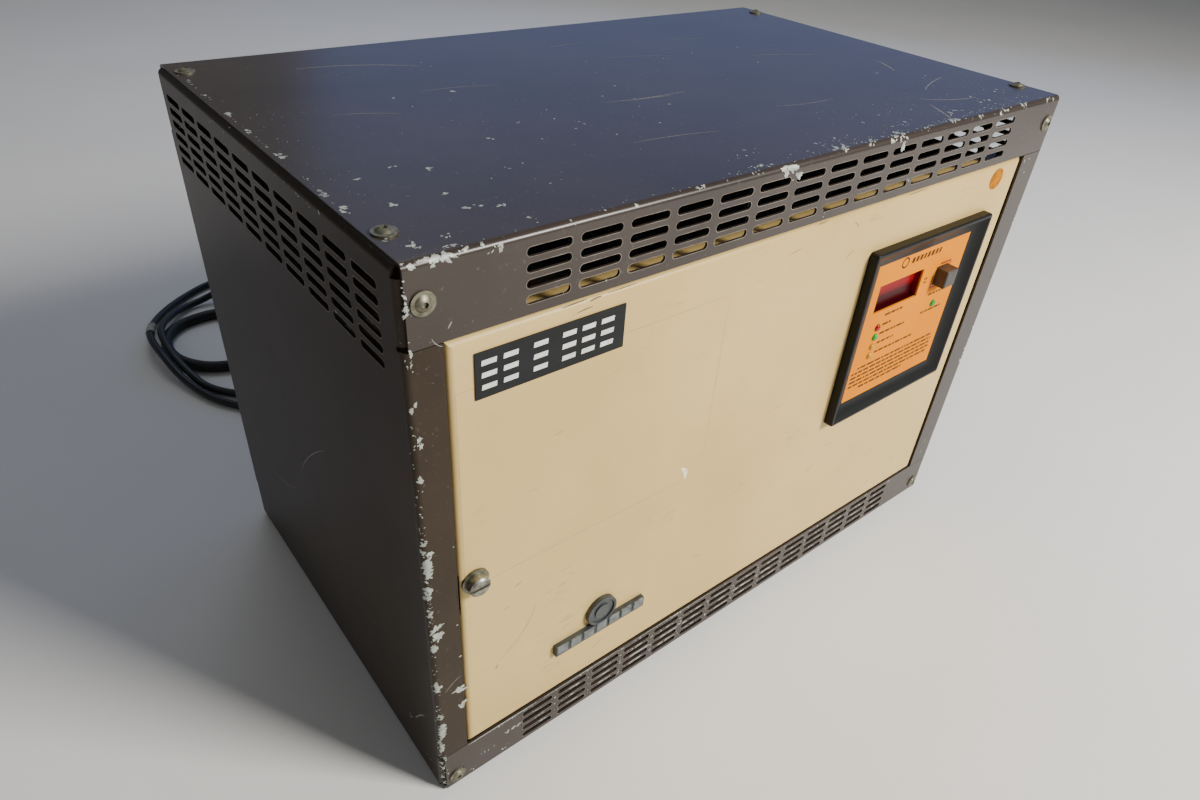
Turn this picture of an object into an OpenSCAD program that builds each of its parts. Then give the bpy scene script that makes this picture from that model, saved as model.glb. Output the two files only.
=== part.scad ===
// Traction battery charger: a folded sheet cabinet with a hinged front door,
// a control unit in the door, and a mains transformer with a rectifier inside.
// Millimetres. The origin is the middle of the underside: +X right, +Y back, +Z up.

/* [Cabinet] */
// Overall width across the side panels
cab_w = 540; // [520:1:600]
// Overall depth from the front flange to the rear flange
cab_d = 328; // [322:1:380]
// Overall height from the underside to the cover's top
cab_h = 388; // [384:1:440]
// Thickness of the folded sheet
sheet_t = 1.5; // [1.2:0.1:2]
// Inside radius of every fold in the sheet
fold_r = 2; // [1:0.5:3]
// How far the cover's cut edges stay inside the side panels
cover_inset = 3; // [2:0.5:5]
// Height of the cover's front and rear flanges
cover_flange_h = 41; // [38:0.5:46]
// Height of the base tray's front and rear flanges
base_flange_h = 38.5; // [36:0.5:44]
// Width of the side panels' inward top and bottom flanges
side_flange_w = 22; // [20:1:30]
// Width of the left panel's strip beside the door
left_strip_w = 19.5; // [18:0.5:22]
// Width of the right panel's strip beside the door
right_strip_w = 26.5; // [24:0.5:30]
// Width of the strips at the rear
rear_strip_w = 21; // [20:1:26]

/* [Vents] */
// Length of one vent slot over its round ends
slot_l = 25; // [20:0.5:27]
// Height of one vent slot
slot_h = 4.6; // [3:0.1:5.5]
// Distance from slot to slot along a row
slot_pitch_x = 30; // [28:0.5:31]
// Distance from row to row
slot_pitch_z = 8; // [7:0.1:8.5]
// Slots in a row of the cover and of the base tray
front_cols = 14; // [6:1:14]
// Rows in the cover and in the base tray
front_rows = 4; // [2:1:4]
// Slots in a row of a side panel
side_cols = 10; // [4:1:10]
// Rows in a side panel
side_rows = 6; // [2:1:6]
// From the cover's top to the middle of its first row
cover_row_drop = 9.4; // [9:0.1:11]
// From the underside to the middle of the base tray's lowest row
base_row_rise = 8; // [7.5:0.1:9]
// From the cover's top to the middle of a side panel's first row
side_row_drop = 17; // [14:0.5:24]
// From the front face to the tip of a side panel's first slot
side_slot_front = 19; // [18:0.5:22]

/* [Cabinet screws] */
// Thread diameter of the cabinet screws
screw_d = 5; // [4:0.5:5]
// Diameter of a screw head over its flange
screw_head_d = 11.8; // [9:0.1:12.5]
// Height of a screw head
screw_head_h = 2.8; // [2:0.1:3.5]
// From a side panel's outer face to a screw's axis
screw_inset = 11; // [10.5:0.5:12]
// From the cover's top to the corner screws
corner_screw_drop = 19.2; // [16:0.2:24]
// From the underside to the lower corner screws
corner_screw_rise = 12; // [11:0.2:20]
// From the front face to the cover's front top screws
top_screw_front = 30.5; // [24:0.5:40]
// From the rear face to the cover's rear top screws
top_screw_rear = 26.5; // [24:0.5:40]

/* [Door] */
// Gap between the door and the strip at the lock side
door_gap_left = 1; // [0.8:0.1:2]
// Gap between the door and the strip at the hinge side
door_gap_right = 3.5; // [3:0.1:5]
// Gap above and below the door
door_gap_z = 1.6; // [1.5:0.1:2.5]
// Depth of the door's return flanges
door_return = 18; // [16:0.5:20]
// From the door's hinge edge to the pivot
pivot_inset_x = 9; // [9:0.5:10]
// From the door's face back to the pivot
pivot_inset_y = 10; // [9.5:0.5:10]
// Diameter of the pivot pins
pivot_d = 6; // [5:0.5:6]
// Wall of the pivot bushes
bush_wall = 1; // [0.8:0.1:1.2]

/* [Lock] */
// From the door's lock edge to the lock's axis
lock_inset = 9.5; // [9.5:0.5:12]
// From the underside to the lock's axis
lock_z = 189; // [100:1:280]
// Diameter of the lock's head
lock_head_d = 13; // [10:0.5:14]
// Height of the lock's head
lock_head_h = 6; // [4:0.5:8]
// Diameter of the washer under the lock's head
lock_washer_d = 17; // [15:0.5:19]
// Diameter of the lock's spindle
lock_spindle_d = 8; // [6:0.5:8]
// Length of the cam from the axis to its tip
cam_reach = 22; // [18:0.5:24]
// Width of the cam
cam_w = 12; // [11:0.5:13]

/* [Control unit] */
// Width and height of the square bezel
bezel_size = 144; // [140:1:148]
// How far the bezel stands out of the door
bezel_h = 7; // [5:0.5:9]
// Width of the bezel's front ridge
bezel_ridge = 2; // [1:0.5:4]
// Width of the panel that the bezel leaves open
panel_open_w = 114; // [108:1:118]
// Height of the panel that the bezel leaves open
panel_open_h = 116; // [108:1:118]
// Thickness of the front panel
panel_t = 1.4; // [1:0.1:2]
// From the door's hinge edge to the bezel's middle
bezel_from_hinge = 100; // [96:1:130]
// From the door's top edge to the bezel's middle
bezel_from_top = 107.4; // [100:0.2:150]
// Depth of the housing behind the door
housing_depth = 57; // [50:1:60]
// Wall of the housing
housing_wall = 2; // [1.5:0.1:3]
// Width of the display window
display_w = 53.5; // [40:0.5:60]
// Height of the display window
display_h = 22.6; // [18:0.2:26]
// Depth of the window behind the panel's face
display_recess = 5; // [4:0.5:6]
// Diameter of a status lamp
lamp_d = 3.4; // [3:0.1:4]
// Distance from status lamp to status lamp
lamp_pitch = 8.1; // [7:0.1:9]
// Width and height of the square push button
button_size = 14; // [12:0.5:15]
// How far the push button stands out of the panel
button_proud = 9.7; // [8:0.1:11]
// Travel of the push button
button_travel = 3; // [1:0.5:3]
// Free space around the push button in its opening
button_gap = 0.6; // [0.4:0.1:1]

/* [Door trim] */
// Width of the black label
label_w = 89; // [60:1:100]
// Height of the black label
label_h = 25.8; // [20:0.2:30]
// Width of the badge's bar
badge_w = 76; // [60:1:90]
// Height of the badge's bar
badge_h = 9; // [6:0.5:12]
// Diameter of the badge's ring
badge_ring_d = 24; // [18:1:28]
// Thickness of the badge
badge_t = 3.5; // [2:0.5:5]
// Diameter of the round sticker
sticker_d = 16; // [10:1:20]

/* [Transformer] */
// Width of the laminated core
core_w = 240; // [220:1:244]
// Height of the laminated core
core_h = 200; // [190:1:210]
// Thickness of the stack of laminations
core_stack = 90; // [70:1:100]
// Width of the core's middle leg
core_leg = 80; // [70:1:80]
// Width of each window in the core
core_window = 40; // [38:1:44]
// Height of each yoke
core_yoke = 40; // [36:1:44]
// Thickness of the clamping angles
clamp_t = 3; // [2:0.5:4]
// Depth of the clamping angles' feet
clamp_foot = 30; // [26:1:34]
// Diameter of the core bolts
core_bolt_d = 8; // [6:1:8]

/* [Rectifier] */
// Width of the heat sink
sink_w = 150; // [130:1:160]
// Height of the heat sink
sink_h = 180; // [140:1:190]
// Thickness of the heat sink's base
sink_base = 10; // [8:1:12]
// Length of the fins
fin_l = 42; // [30:1:50]
// Thickness of a fin
fin_t = 2.5; // [2:0.1:3]
// Distance from fin to fin
fin_pitch = 12; // [10:0.5:14]
// Height of a rectifier module
module_h = 94; // [80:1:100]
// Width of a rectifier module
module_w = 34; // [30:1:36]
// Thickness of a rectifier module
module_t = 30; // [26:1:32]

/* [Cables] */
// Diameter of the mains lead
mains_d = 8; // [7:0.2:8.4]
// Diameter of the two-core battery lead
battery_d = 12; // [11:0.2:12.4]
// Diameter of the mains plug's body
plug_d = 37; // [34:1:40]

/* [Hidden] */
$fn = 48;

// Edges and planes of the cabinet
half_w = cab_w / 2;
half_d = cab_d / 2;
bend_o = fold_r + sheet_t;
cover_w = cab_w - 2 * cover_inset;
side_low = sheet_t;
side_high = cab_h - sheet_t;
seam_gap = 0.5;
strip_low = base_flange_h + seam_gap;
strip_high = cab_h - cover_flange_h - seam_gap;
tab_step = sheet_t + 0.3;
tab_relief = 2.5;
tab_end_gap = 2;
front_y = -half_d;
inner_w = half_w - sheet_t;
slot_row_w = (front_cols - 1) * slot_pitch_x;
through = 2 * (cab_w + cab_d);

// Screws and nuts
screw_hole_gap = 0.25;
screw_len = 10;
socket_w = 3;
nut_h = 4;
nut_w = 8;
nut_gap = 0.05;
screw_x = half_w - screw_inset;
corner_high_z = cab_h - corner_screw_drop;
top_front_y = front_y + top_screw_front;
top_rear_y = half_d - top_screw_rear;
tab_inner_y = half_d - tab_step - sheet_t;

// Rear panel
rear_lap = 4.5;
rear_panel_y = half_d - 2 * sheet_t;
rear_screw_margin = 32;
rear_screw_zs = [strip_low + rear_screw_margin, (strip_low + strip_high) / 2,
    strip_high - rear_screw_margin];

// Door
door_left = -half_w + left_strip_w + door_gap_left;
door_right = half_w - right_strip_w - door_gap_right;
door_low = base_flange_h + door_gap_z;
door_high = cab_h - cover_flange_h - door_gap_z;
door_w = door_right - door_left;
door_h = door_high - door_low;
pivot_x = door_right - pivot_inset_x;
pivot_y = front_y + pivot_inset_y;
pivot_gap = 0.05;
bush_flange_t = 0.9;
bush_flange_r = pivot_d / 2 + bush_wall + 1.5;
bracket_gap = 0.4;
bracket_t = 3;
bracket_eye_r = pivot_inset_y - tab_step - sheet_t - 0.7;
bracket_tab_h = 26;
pin_head_t = 2;
pin_depth = 9;

// Lock
lock_x = door_left + lock_inset;
lock_washer_t = 1.2;
lock_gap = 0.1;
cam_t = 2.5;
cam_front_y = front_y + sheet_t + 0.3;
lock_nut_t = 4;
cam_notch_gap = 1.5;
lock_slot_w = 2;
lock_slot_deep = 2;
lock_nut_w = 13;

// Control unit
bezel_x = door_right - bezel_from_hinge;
bezel_z = door_high - bezel_from_top;
bezel_corner_r = 3;
panel_lap = 4;
cutout = bezel_size - 6;
housing_size = cutout - 1;
housing_lip = 2;
housing_rear_y = front_y + housing_depth;
panel_front_y = front_y - panel_t;
lamp_x = -37.4;
lamp_top_z = 3.6;
lamp_auto = [33.6, 3.4];
lamp_gap = 0.1;
lamp_proud = 1;
lamp_dome_y = panel_front_y - lamp_proud + lamp_d / 2;
display_pos = [-22, 29.2];
button_pos = [31, 29.3];
button_flange_t = 1.5;
button_flange_lap = 1;
button_clear = 0.3;
button_stem_d = 5;
board_t = 1.6;
board_y = front_y + 13;
board_size = housing_size - 2 * housing_wall - 8;
window_t = 1.2;
window_flange = 2;

// Trim on the door
label_t = 0.8;
label_pos = [door_left + 13.6, door_high - 35.4];
badge_pos = [door_left + 66, door_low + 40.2];
sticker_t = 0.3;
sticker_pos = [door_right - 29, door_high - 11];

// Transformer
core_lift = 6;
core_x = -half_w + 45 + core_w / 2;
core_y = half_d - 79 - core_stack / 2;
core_low = sheet_t + core_lift;
core_high = core_low + core_h;
core_front = core_y - core_stack / 2;
core_rear = core_y + core_stack / 2;
core_bolt_in = 18;
former_gap = 0.3;
former_wall = 2;
former_flange = 3;
coil_margin = 1.5;
clamp_w = core_yoke - 2;
clamp_hole_x = core_w / 2 - 30;
clamp_hole_y = 18;
board_plate_t = 4;
board_plate_w = 120;
stud_d = 8;
stud_h = 14;
foot_nut_h = 6;
foot_nut_w = 13;

// Component plate, heat sink and modules
plate_t = 2;
plate_x = core_x + core_w / 2 + module_t + 15;
plate_rear = half_d - 14;
plate_len = 210;
plate_front = plate_rear - plate_len;
plate_top = cab_h - 58;
plate_foot = 26;
plate_foot_ys = [plate_front + 25, plate_rear - 25];
sink_y = plate_rear - 20 - sink_w / 2;
sink_z = plate_top - 30 - sink_h / 2;
window_margin = 2;
fin_count = floor((sink_w - fin_t) / fin_pitch);
module_ys = [sink_y - 25, sink_y + 25];
module_post_d = 12;
module_post_h = 3;
busbar_t = 3;
busbar_w = 20;

// Rail with its switchgear, near the front at the right
rail_h = 35;
rail_d = 7.5;
rail_t = 1;
bracket_x = plate_x + plate_t;
bracket_len = half_w - side_flange_w - 3 - bracket_x;
rail_bracket_y = plate_front - 2;
rail_bracket_top = 104;
rail_z = 62;
rail_bracket_t = 2;
rail_face_y = rail_bracket_y - rail_bracket_t - rail_d;
gear_h = 80;
contactor_w = 45;
breaker_w = 17.5;
block_w = 8;
block_pitch = block_w + 0.2;
gear_in = 6;
blocks_in = gear_in + contactor_w + 4 + 2 * breaker_w;
block_count = floor((bracket_len - blocks_in - 4) / block_pitch);

// Fuse and shunt on the base
fuse_from_side = 105;
shunt_from_side = 45;
fuse_pos = [half_w - fuse_from_side, sink_y - 25];
shunt_pos = [half_w - shunt_from_side, sink_y - 25];
fuse_base_l = 120;
fuse_base_w = 34;
fuse_base_h = 18;

// Glands on the rear panel
gland_z = 60;
mains_gland_x = -160;
battery_gland_x = -100;
gland_reach = 26;
gland_nut_t = 5;
gland_exit_y = half_d - sheet_t + gland_reach;
mains_thread_r = 8;
battery_thread_r = 10;

// Route of the mains lead: out of its gland, down to the floor, one turn behind
// the cabinet's left rear corner and a second inside it, to the plug
mains_route = [[-160, 188.5, 60], [-160, 206, 60], [-162, 232, 50], [-168, 260, 26],
    [-188, 286, 7], [-222, 312, 4.6], [-251, 350, 4.8], [-267, 396, 8], [-275, 444, 17],
    [-275, 492, 17], [-257, 540, 9], [-222, 580, 4.8], [-175, 606, 4.4], [-124, 606, 4.4],
    [-80, 580, 4.4], [-54, 534, 4.4], [-46, 482, 4.4], [-54, 430, 4.4], [-80, 384, 4.4],
    [-122, 350, 4.4], [-172, 334, 4.4], [-217, 340, 4.4], [-249, 374, 4.8], [-262, 416, 12],
    [-266, 460, 17], [-261, 502, 17], [-241, 540, 9], [-219, 559, 5.6], [-198, 564, 7.2],
    [-182, 562.5, 12.6], [-169, 560.6, 17.4], [-161, 560, 18.5], [-156, 560, 18.5], [-150, 560, 18.5]];

// Route of the battery lead: over the mains lead, round a loop under it, back
// over it and into the coil
battery_route = [[-100, 188.5, 60], [-100, 206, 59.2], [-101, 230, 52], [-104, 252, 39], [-108, 274, 26],
    [-114, 300, 17], [-122, 334, 16], [-138, 362, 15], [-160, 384, 8], [-186, 396, 6.2],
    [-214, 401, 6.2], [-240, 414, 6.2], [-258, 438, 6.2], [-264, 468, 6.2], [-257, 498, 6.2],
    [-237, 518, 6.2], [-207, 524, 6.2], [-175, 518, 6.2], [-143, 504, 6.2], [-110, 492, 8],
    [-78, 486, 14], [-47, 484, 16], [-16, 486, 13], [12, 492, 8], [38, 499, 6.2]];

// Coil of the battery lead, and its tail to the connector
coil_pos = [59, 422];
coil_turns_wide = 3;
coil_turns_high = 2;
coil_mid_r = 68;
tail_route = [[70, 501.5, 18.2], [95, 499, 16.5], [118, 496.5, 14], [138, 495, 15.2], [156, 495, 17],
    [170, 495, 17]];
connector_size = [80, 50, 34];

// Plug
plug_pin_d = 4.8;
plug_pin_l = 19;
plug_pin_gap = 19;
plug_len = 62;
plug_at = mains_route[len(mains_route) - 1];

// Flat outlines

module rounded_rect(w, h, r) {
    translate([r, 0]) square([w - 2 * r, h]);
    translate([0, r]) square([w, h - 2 * r]);
    for (x = [r, w - r], y = [r, h - r])
        translate([x, y]) circle(r);
}

// A sheet folded into a U: the web lies along X at Y = 0, the legs reach down
module u_section(w, leg_a, leg_b) {
    deep = 2 * max(leg_a, leg_b) + 4 * bend_o;
    difference() {
        translate([-w / 2, -deep]) rounded_rect(w, deep, bend_o);
        translate([-w / 2 + sheet_t, -deep + sheet_t])
            rounded_rect(w - 2 * sheet_t, deep - 2 * sheet_t, fold_r);
        translate([-w / 2 - 1, -deep - 1]) square([w / 2 + 1, deep + 1 - leg_a]);
        translate([0, -deep - 1]) square([w / 2 + 1, deep + 1 - leg_b]);
    }
}

// A rectangle on the X axis whose two front corners are round
module front_round(w, d, r) {
    translate([-w / 2, r]) square([w, d - r]);
    translate([-w / 2 + r, 0]) square([w - 2 * r, d]);
    for (s = [-1, 1])
        translate([s * (w / 2 - r), r]) circle(r);
}

module slot_outline() {
    square([slot_l - slot_h, slot_h], center = true);
    for (s = [-1, 1])
        translate([s * (slot_l - slot_h) / 2, 0]) circle(d = slot_h);
}

// Rows of slots, centred on X, the first row at the top at Y = 0
module slot_grid(cols, rows) {
    for (c = [0 : cols - 1], r = [0 : rows - 1])
        translate([(c - (cols - 1) / 2) * slot_pitch_x, -r * slot_pitch_z]) slot_outline();
}

// Small repeated shapes

module hex(across, h) {
    cylinder(r = across / 2 / cos(30), h = h, $fn = 6);
}

// A flanged button-head screw: the head stands on Z = 0, the shank points down
module button_screw() {
    dome_r = screw_head_d * 0.4;
    flange_h = 0.9;
    ball_r = (dome_r * dome_r + screw_head_h * screw_head_h) / (2 * screw_head_h);
    difference() {
        union() {
            cylinder(d = screw_head_d, h = flange_h);
            intersection() {
                translate([0, 0, screw_head_h - ball_r]) sphere(r = ball_r);
                cylinder(r = dome_r, h = screw_head_h);
            }
            translate([0, 0, -screw_len]) cylinder(d = screw_d, h = screw_len + 0.1);
        }
        translate([0, 0, screw_head_h - 1.6]) hex(socket_w, 2);
    }
}

module weld_nut() {
    difference() {
        hex(nut_w, nut_h);
        translate([0, 0, -1]) cylinder(d = screw_d + 2 * nut_gap, h = nut_h + 2);
    }
}

module screw_hole(length) {
    translate([0, 0, -length / 2]) cylinder(d = screw_d + 2 * screw_hole_gap, h = length);
}

module at_top_screws() {
    for (s = [-1, 1], y = [top_front_y, top_rear_y])
        translate([s * screw_x, y, 0]) children();
}

// Both faces of the cabinet: +Z of the child points out of the face
module at_corner_screws(face_offset) {
    for (s = [-1, 1], z = [corner_screw_rise, corner_high_z], f = [0, 180])
        rotate([0, 0, f]) translate([s * screw_x, -half_d + face_offset, z])
            rotate([90, 0, 0]) children();
}

module at_rear_screws(y) {
    for (s = [-1, 1], z = rear_screw_zs)
        translate([s * screw_x, y, z]) rotate([-90, 0, 0]) children();
}

// Cords

function unit(v) = v / norm(v);
function curve_point(a, b, c, d, t) = 0.5 * (2 * b + (c - a) * t
    + (2 * a - 5 * b + 4 * c - d) * t * t + (3 * b - a - 3 * c + d) * t * t * t);
function smooth(p, n) = let(last = len(p) - 1) concat([for (i = [0 : last - 1], j = [0 : n - 1])
    curve_point(p[max(i - 1, 0)], p[i], p[i + 1], p[min(i + 2, last)], j / n)], [p[last]]);

// A round tube swept along a smooth curve through the points of a route
module cord(route, diameter, steps, sides) {
    path = smooth(route, steps);
    count = len(path);
    heads = [for (i = [0 : count - 1])
        unit(path[min(i + 1, count - 1)] - path[max(i - 1, 0)])];
    ring_points = [for (i = [0 : count - 1])
        let(side = unit(cross(heads[i], [0, 0, 1])), up = cross(side, heads[i]))
        for (k = [0 : sides - 1])
            path[i] + diameter / 2 * (cos(360 * k / sides) * side + sin(360 * k / sides) * up)];
    walls = [for (i = [0 : count - 2], k = [0 : sides - 1])
        let(n = (k + 1) % sides)
        [i * sides + n, (i + 1) * sides + n, (i + 1) * sides + k, i * sides + k]];
    first_cap = [[for (k = [sides - 1 : -1 : 0]) k]];
    last_cap = [[for (k = [0 : sides - 1]) (count - 1) * sides + k]];
    polyhedron(ring_points, concat(walls, first_cap, last_cap), convexity = 12);
}

// Cabinet sheets

// The cover and the base tray share this channel, the web on top
module flanged_channel(flange_h) {
    translate([-cover_w / 2, 0, 0]) rotate([90, 0, 90])
        linear_extrude(cover_w) u_section(cab_d, flange_h, flange_h);
}

module base_tray() {
    color("#5b5049") difference() {
        mirror([0, 0, 1]) flanged_channel(base_flange_h);
        translate([0, through / 2, base_row_rise + (front_rows - 1) * slot_pitch_z])
            rotate([90, 0, 0]) linear_extrude(through) slot_grid(front_cols, front_rows);
        for (s = [-1, 1])
            translate([s * screw_x, 0, corner_screw_rise]) rotate([90, 0, 0])
                screw_hole(through);
    }
}

module top_cover() {
    color("#463f55") difference() {
        translate([0, 0, cab_h]) flanged_channel(cover_flange_h);
        translate([0, through / 2, cab_h - cover_row_drop])
            rotate([90, 0, 0]) linear_extrude(through) slot_grid(front_cols, front_rows);
        for (s = [-1, 1])
            translate([s * screw_x, 0, corner_high_z]) rotate([90, 0, 0])
                screw_hole(through);
        translate([0, 0, cab_h]) at_top_screws() screw_hole(4 * sheet_t);
    }
}

// A stretch of the side panel folded round the front and rear corners
module corner_folds(front_leg, rear_leg, step, low, high) {
    translate([-half_w, 0, low]) linear_extrude(high - low)
        rotate(90) u_section(cab_d - 2 * step, front_leg, rear_leg);
}

module side_vents() {
    first_y = front_y + side_slot_front + slot_l / 2;
    mid_y = first_y + (side_cols - 1) * slot_pitch_x / 2;
    translate([-half_w - sheet_t, mid_y, cab_h - side_row_drop]) rotate([90, 0, 90])
        linear_extrude(3 * sheet_t) slot_grid(side_cols, side_rows);
}

module side_panel(front_strip) {
    wall_len = cab_d - 2 * (bend_o + tab_step);
    difference() {
        union() {
            translate([-half_w, wall_len / 2, (side_low + side_high) / 2])
                rotate([90, 0, 0]) linear_extrude(wall_len) rotate(90)
                    u_section(side_high - side_low, side_flange_w, side_flange_w);
            corner_folds(front_strip, rear_strip_w, 0, strip_low, strip_high);
            corner_folds(side_flange_w, side_flange_w, tab_step,
                strip_high + tab_relief, side_high - bend_o - tab_end_gap);
            corner_folds(side_flange_w, side_flange_w, tab_step,
                side_low + bend_o + tab_end_gap, strip_low - tab_relief);
        }
        side_vents();
        for (z = [corner_screw_rise, corner_high_z])
            translate([-screw_x, 0, z]) rotate([90, 0, 0]) screw_hole(through);
        translate([0, 0, cab_h]) at_top_screws() screw_hole(6 * sheet_t);
        translate([0, half_d, 0]) for (z = rear_screw_zs)
            translate([-screw_x, 0, z]) rotate([90, 0, 0]) screw_hole(6 * sheet_t);
    }
}

module left_side_panel() {
    color("#4c443d") side_panel(left_strip_w);
}

module right_side_panel() {
    color("#4c443d") mirror([1, 0, 0]) side_panel(right_strip_w);
}

// A flat sheet behind the rear flanges and strips, its corners cut away for the tabs
module rear_panel() {
    wide = cab_w - 2 * (sheet_t + fold_r + 1.5);
    narrow = cab_w - 2 * (side_flange_w + 3);
    color("#54493f") difference() {
        translate([0, rear_panel_y + sheet_t, 0]) rotate([90, 0, 0])
            linear_extrude(sheet_t) difference() {
                union() {
                    translate([-wide / 2, strip_low + 1])
                        square([wide, strip_high - strip_low - 2]);
                    translate([-narrow / 2, strip_low - rear_lap])
                        square([narrow, strip_high - strip_low + 2 * rear_lap]);
                }
                translate([mains_gland_x, gland_z]) circle(r = mains_thread_r + 0.2);
                translate([battery_gland_x, gland_z]) circle(r = battery_thread_r + 0.2);
            }
        at_rear_screws(half_d) screw_hole(8 * sheet_t);
    }
}

module cabinet_screws() {
    color("#a9a893") {
        translate([0, 0, cab_h]) at_top_screws() button_screw();
        at_corner_screws(0) button_screw();
        at_rear_screws(half_d) button_screw();
    }
}

module weld_nuts() {
    color("#b8b4a0") {
        translate([0, 0, side_high - sheet_t - nut_h]) at_top_screws() weld_nut();
        at_corner_screws(tab_step + sheet_t + nut_h) weld_nut();
        at_rear_screws(rear_panel_y - nut_h) weld_nut();
    }
}

// Door hinge

// Both pivots: the child's +Z points from the door into its bracket
module at_pivots() {
    translate([pivot_x, pivot_y, door_high]) children();
    translate([pivot_x, pivot_y, door_low]) mirror([0, 0, 1]) children();
}

module hinge_brackets() {
    arm = inner_w - pivot_x;
    reach_y = 2 * bracket_eye_r;
    color("#8d8d88") at_pivots() translate([0, 0, bush_flange_t + bracket_gap]) difference() {
        union() {
            cylinder(r = bracket_eye_r, h = bracket_t);
            translate([0, -bracket_eye_r, 0]) cube([arm - 2 * bracket_t, reach_y, bracket_t]);
            translate([0, -bracket_eye_r + fold_r, 0])
                cube([arm, reach_y - fold_r, bracket_t]);
            translate([arm - bracket_t, -bracket_eye_r + fold_r, -bracket_tab_h])
                cube([bracket_t, reach_y - fold_r, bracket_tab_h + 1]);
        }
        translate([0, 0, -1]) cylinder(d = pivot_d + 0.04, h = bracket_t + 2);
    }
}

module hinge_pins() {
    base_z = bush_flange_t + bracket_gap + bracket_t;
    color("#9aa0a3") at_pivots() {
        translate([0, 0, -pin_depth]) cylinder(d = pivot_d, h = base_z + pin_depth);
        translate([0, 0, base_z]) cylinder(r = bracket_eye_r - 0.5, h = pin_head_t);
    }
}

module door_bushes() {
    barrel = 4;
    color("#ddd9cc") at_pivots() difference() {
        union() {
            cylinder(r = bush_flange_r, h = bush_flange_t);
            translate([0, 0, -barrel]) cylinder(r = pivot_d / 2 + bush_wall, h = barrel + 0.1);
        }
        translate([0, 0, -barrel - 1])
            cylinder(d = pivot_d + 2 * pivot_gap, h = barrel + bush_flange_t + 2);
    }
}

// Door

// A pan with closed corners: the folds of both pairs of flanges meet in mitres
module pan_block(w, h, d, r) {
    intersection() {
        translate([0, 0, -h / 2]) linear_extrude(h) front_round(w, d, r);
        translate([w / 2, 0, 0]) rotate([0, -90, 0]) linear_extrude(w)
            rotate(0) front_round(h, d, r);
    }
}

module front_door() {
    mid_x = (door_left + door_right) / 2;
    mid_z = (door_low + door_high) / 2;
    color("#d3bf98") difference() {
        translate([mid_x, front_y, mid_z]) difference() {
            pan_block(door_w, door_h, door_return, bend_o);
            translate([0, sheet_t, 0]) pan_block(door_w - 2 * sheet_t,
                door_h - 2 * sheet_t, door_return, fold_r);
        }
        translate([bezel_x, front_y, bezel_z])
            cube([cutout, 4 * sheet_t, cutout], center = true);
        translate([lock_x, front_y, lock_z]) rotate([90, 0, 0])
            cylinder(d = lock_spindle_d + 2 * lock_gap, h = 4 * sheet_t, center = true);
        at_pivots() translate([0, 0, -2 * sheet_t])
            cylinder(r = pivot_d / 2 + bush_wall + 0.05, h = 3 * sheet_t);
        cam_notch();
    }
}

// Room in the lock-side flange for the cam's whole sweep
module cam_notch() {
    low = cam_reach + cam_notch_gap;
    high = cam_w / 2 + cam_notch_gap;
    translate([door_left - 1, front_y + sheet_t, lock_z - low])
        cube([bend_o + 1.5, cam_t + 0.3 + cam_notch_gap, low + high]);
}

// Control unit: positions on the panel count from the bezel's middle
module on_panel(p, y) {
    translate([bezel_x + p[0], y, bezel_z + p[1]]) rotate([90, 0, 0]) children();
}

// A square opening whose four walls slope: two crossed prisms
module sloped_opening(front_w, front_h, back_w, back_h, deep) {
    intersection() {
        translate([0, 0, -front_h]) linear_extrude(2 * front_h) polygon([
            [-front_w / 2, 0], [front_w / 2, 0], [back_w / 2, deep], [-back_w / 2, deep]]);
        translate([-front_w, 0, 0]) rotate([90, 0, 90]) linear_extrude(2 * front_w) polygon([
            [0, -front_h / 2], [0, front_h / 2], [deep, back_h / 2], [deep, -back_h / 2]]);
    }
}

module control_bezel() {
    lap_w = panel_open_w + 2 * panel_lap;
    lap_h = panel_open_h + 2 * panel_lap;
    mouth = bezel_size - 2 * bezel_ridge;
    slope_deep = bezel_h - panel_t;
    color("#2c2f31") translate([bezel_x, front_y - bezel_h, bezel_z]) difference() {
        translate([-bezel_size / 2, bezel_h, -bezel_size / 2]) rotate([90, 0, 0])
            linear_extrude(bezel_h) rounded_rect(bezel_size, bezel_size, bezel_corner_r);
        sloped_opening(mouth, mouth, panel_open_w, panel_open_h, slope_deep);
        translate([-panel_open_w / 2, slope_deep - 1, -panel_open_h / 2])
            cube([panel_open_w, 2, panel_open_h]);
        translate([-lap_w / 2, slope_deep, -lap_h / 2]) cube([lap_w, panel_t + 1, lap_h]);
        for (s = [-1, 1], a = [0, 90])
            rotate([0, a, 0]) translate([s * bezel_size / 2, 0, 0]) rotate([0, 0, s * 45])
                cube([1.6, 1.6, 2 * bezel_size], center = true);
    }
}

module control_panel() {
    wide = panel_open_w + 2 * panel_lap - 0.4;
    high = panel_open_h + 2 * panel_lap - 0.4;
    hole = button_size + 2 * button_gap;
    color("#eda23e") on_panel([0, 0], front_y) linear_extrude(panel_t) difference() {
        square([wide, high], center = true);
        translate(display_pos) square([display_w, display_h], center = true);
        translate(button_pos) square(hole, center = true);
        for (i = [0 : 3])
            translate([lamp_x, lamp_top_z - i * lamp_pitch]) circle(d = lamp_d + 2 * lamp_gap);
        translate(lamp_auto) circle(d = lamp_d + 2 * lamp_gap);
    }
}

module control_housing() {
    lip_open = panel_open_w - 4;
    inner = housing_size - 2 * housing_wall;
    color("#26282a") translate([bezel_x, front_y, bezel_z]) difference() {
        translate([-housing_size / 2, 0, -housing_size / 2])
            cube([housing_size, housing_depth, housing_size]);
        translate([-inner / 2, housing_lip, -inner / 2])
            cube([inner, housing_depth, inner]);
        translate([-lip_open / 2, -1, -lip_open / 2]) cube([lip_open, housing_lip + 2, lip_open]);
        for (z = [-40 : 16 : 40])
            translate([-housing_size, housing_depth - 26, z - 2])
                cube([2 * housing_size, 18, 4]);
    }
}

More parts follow.
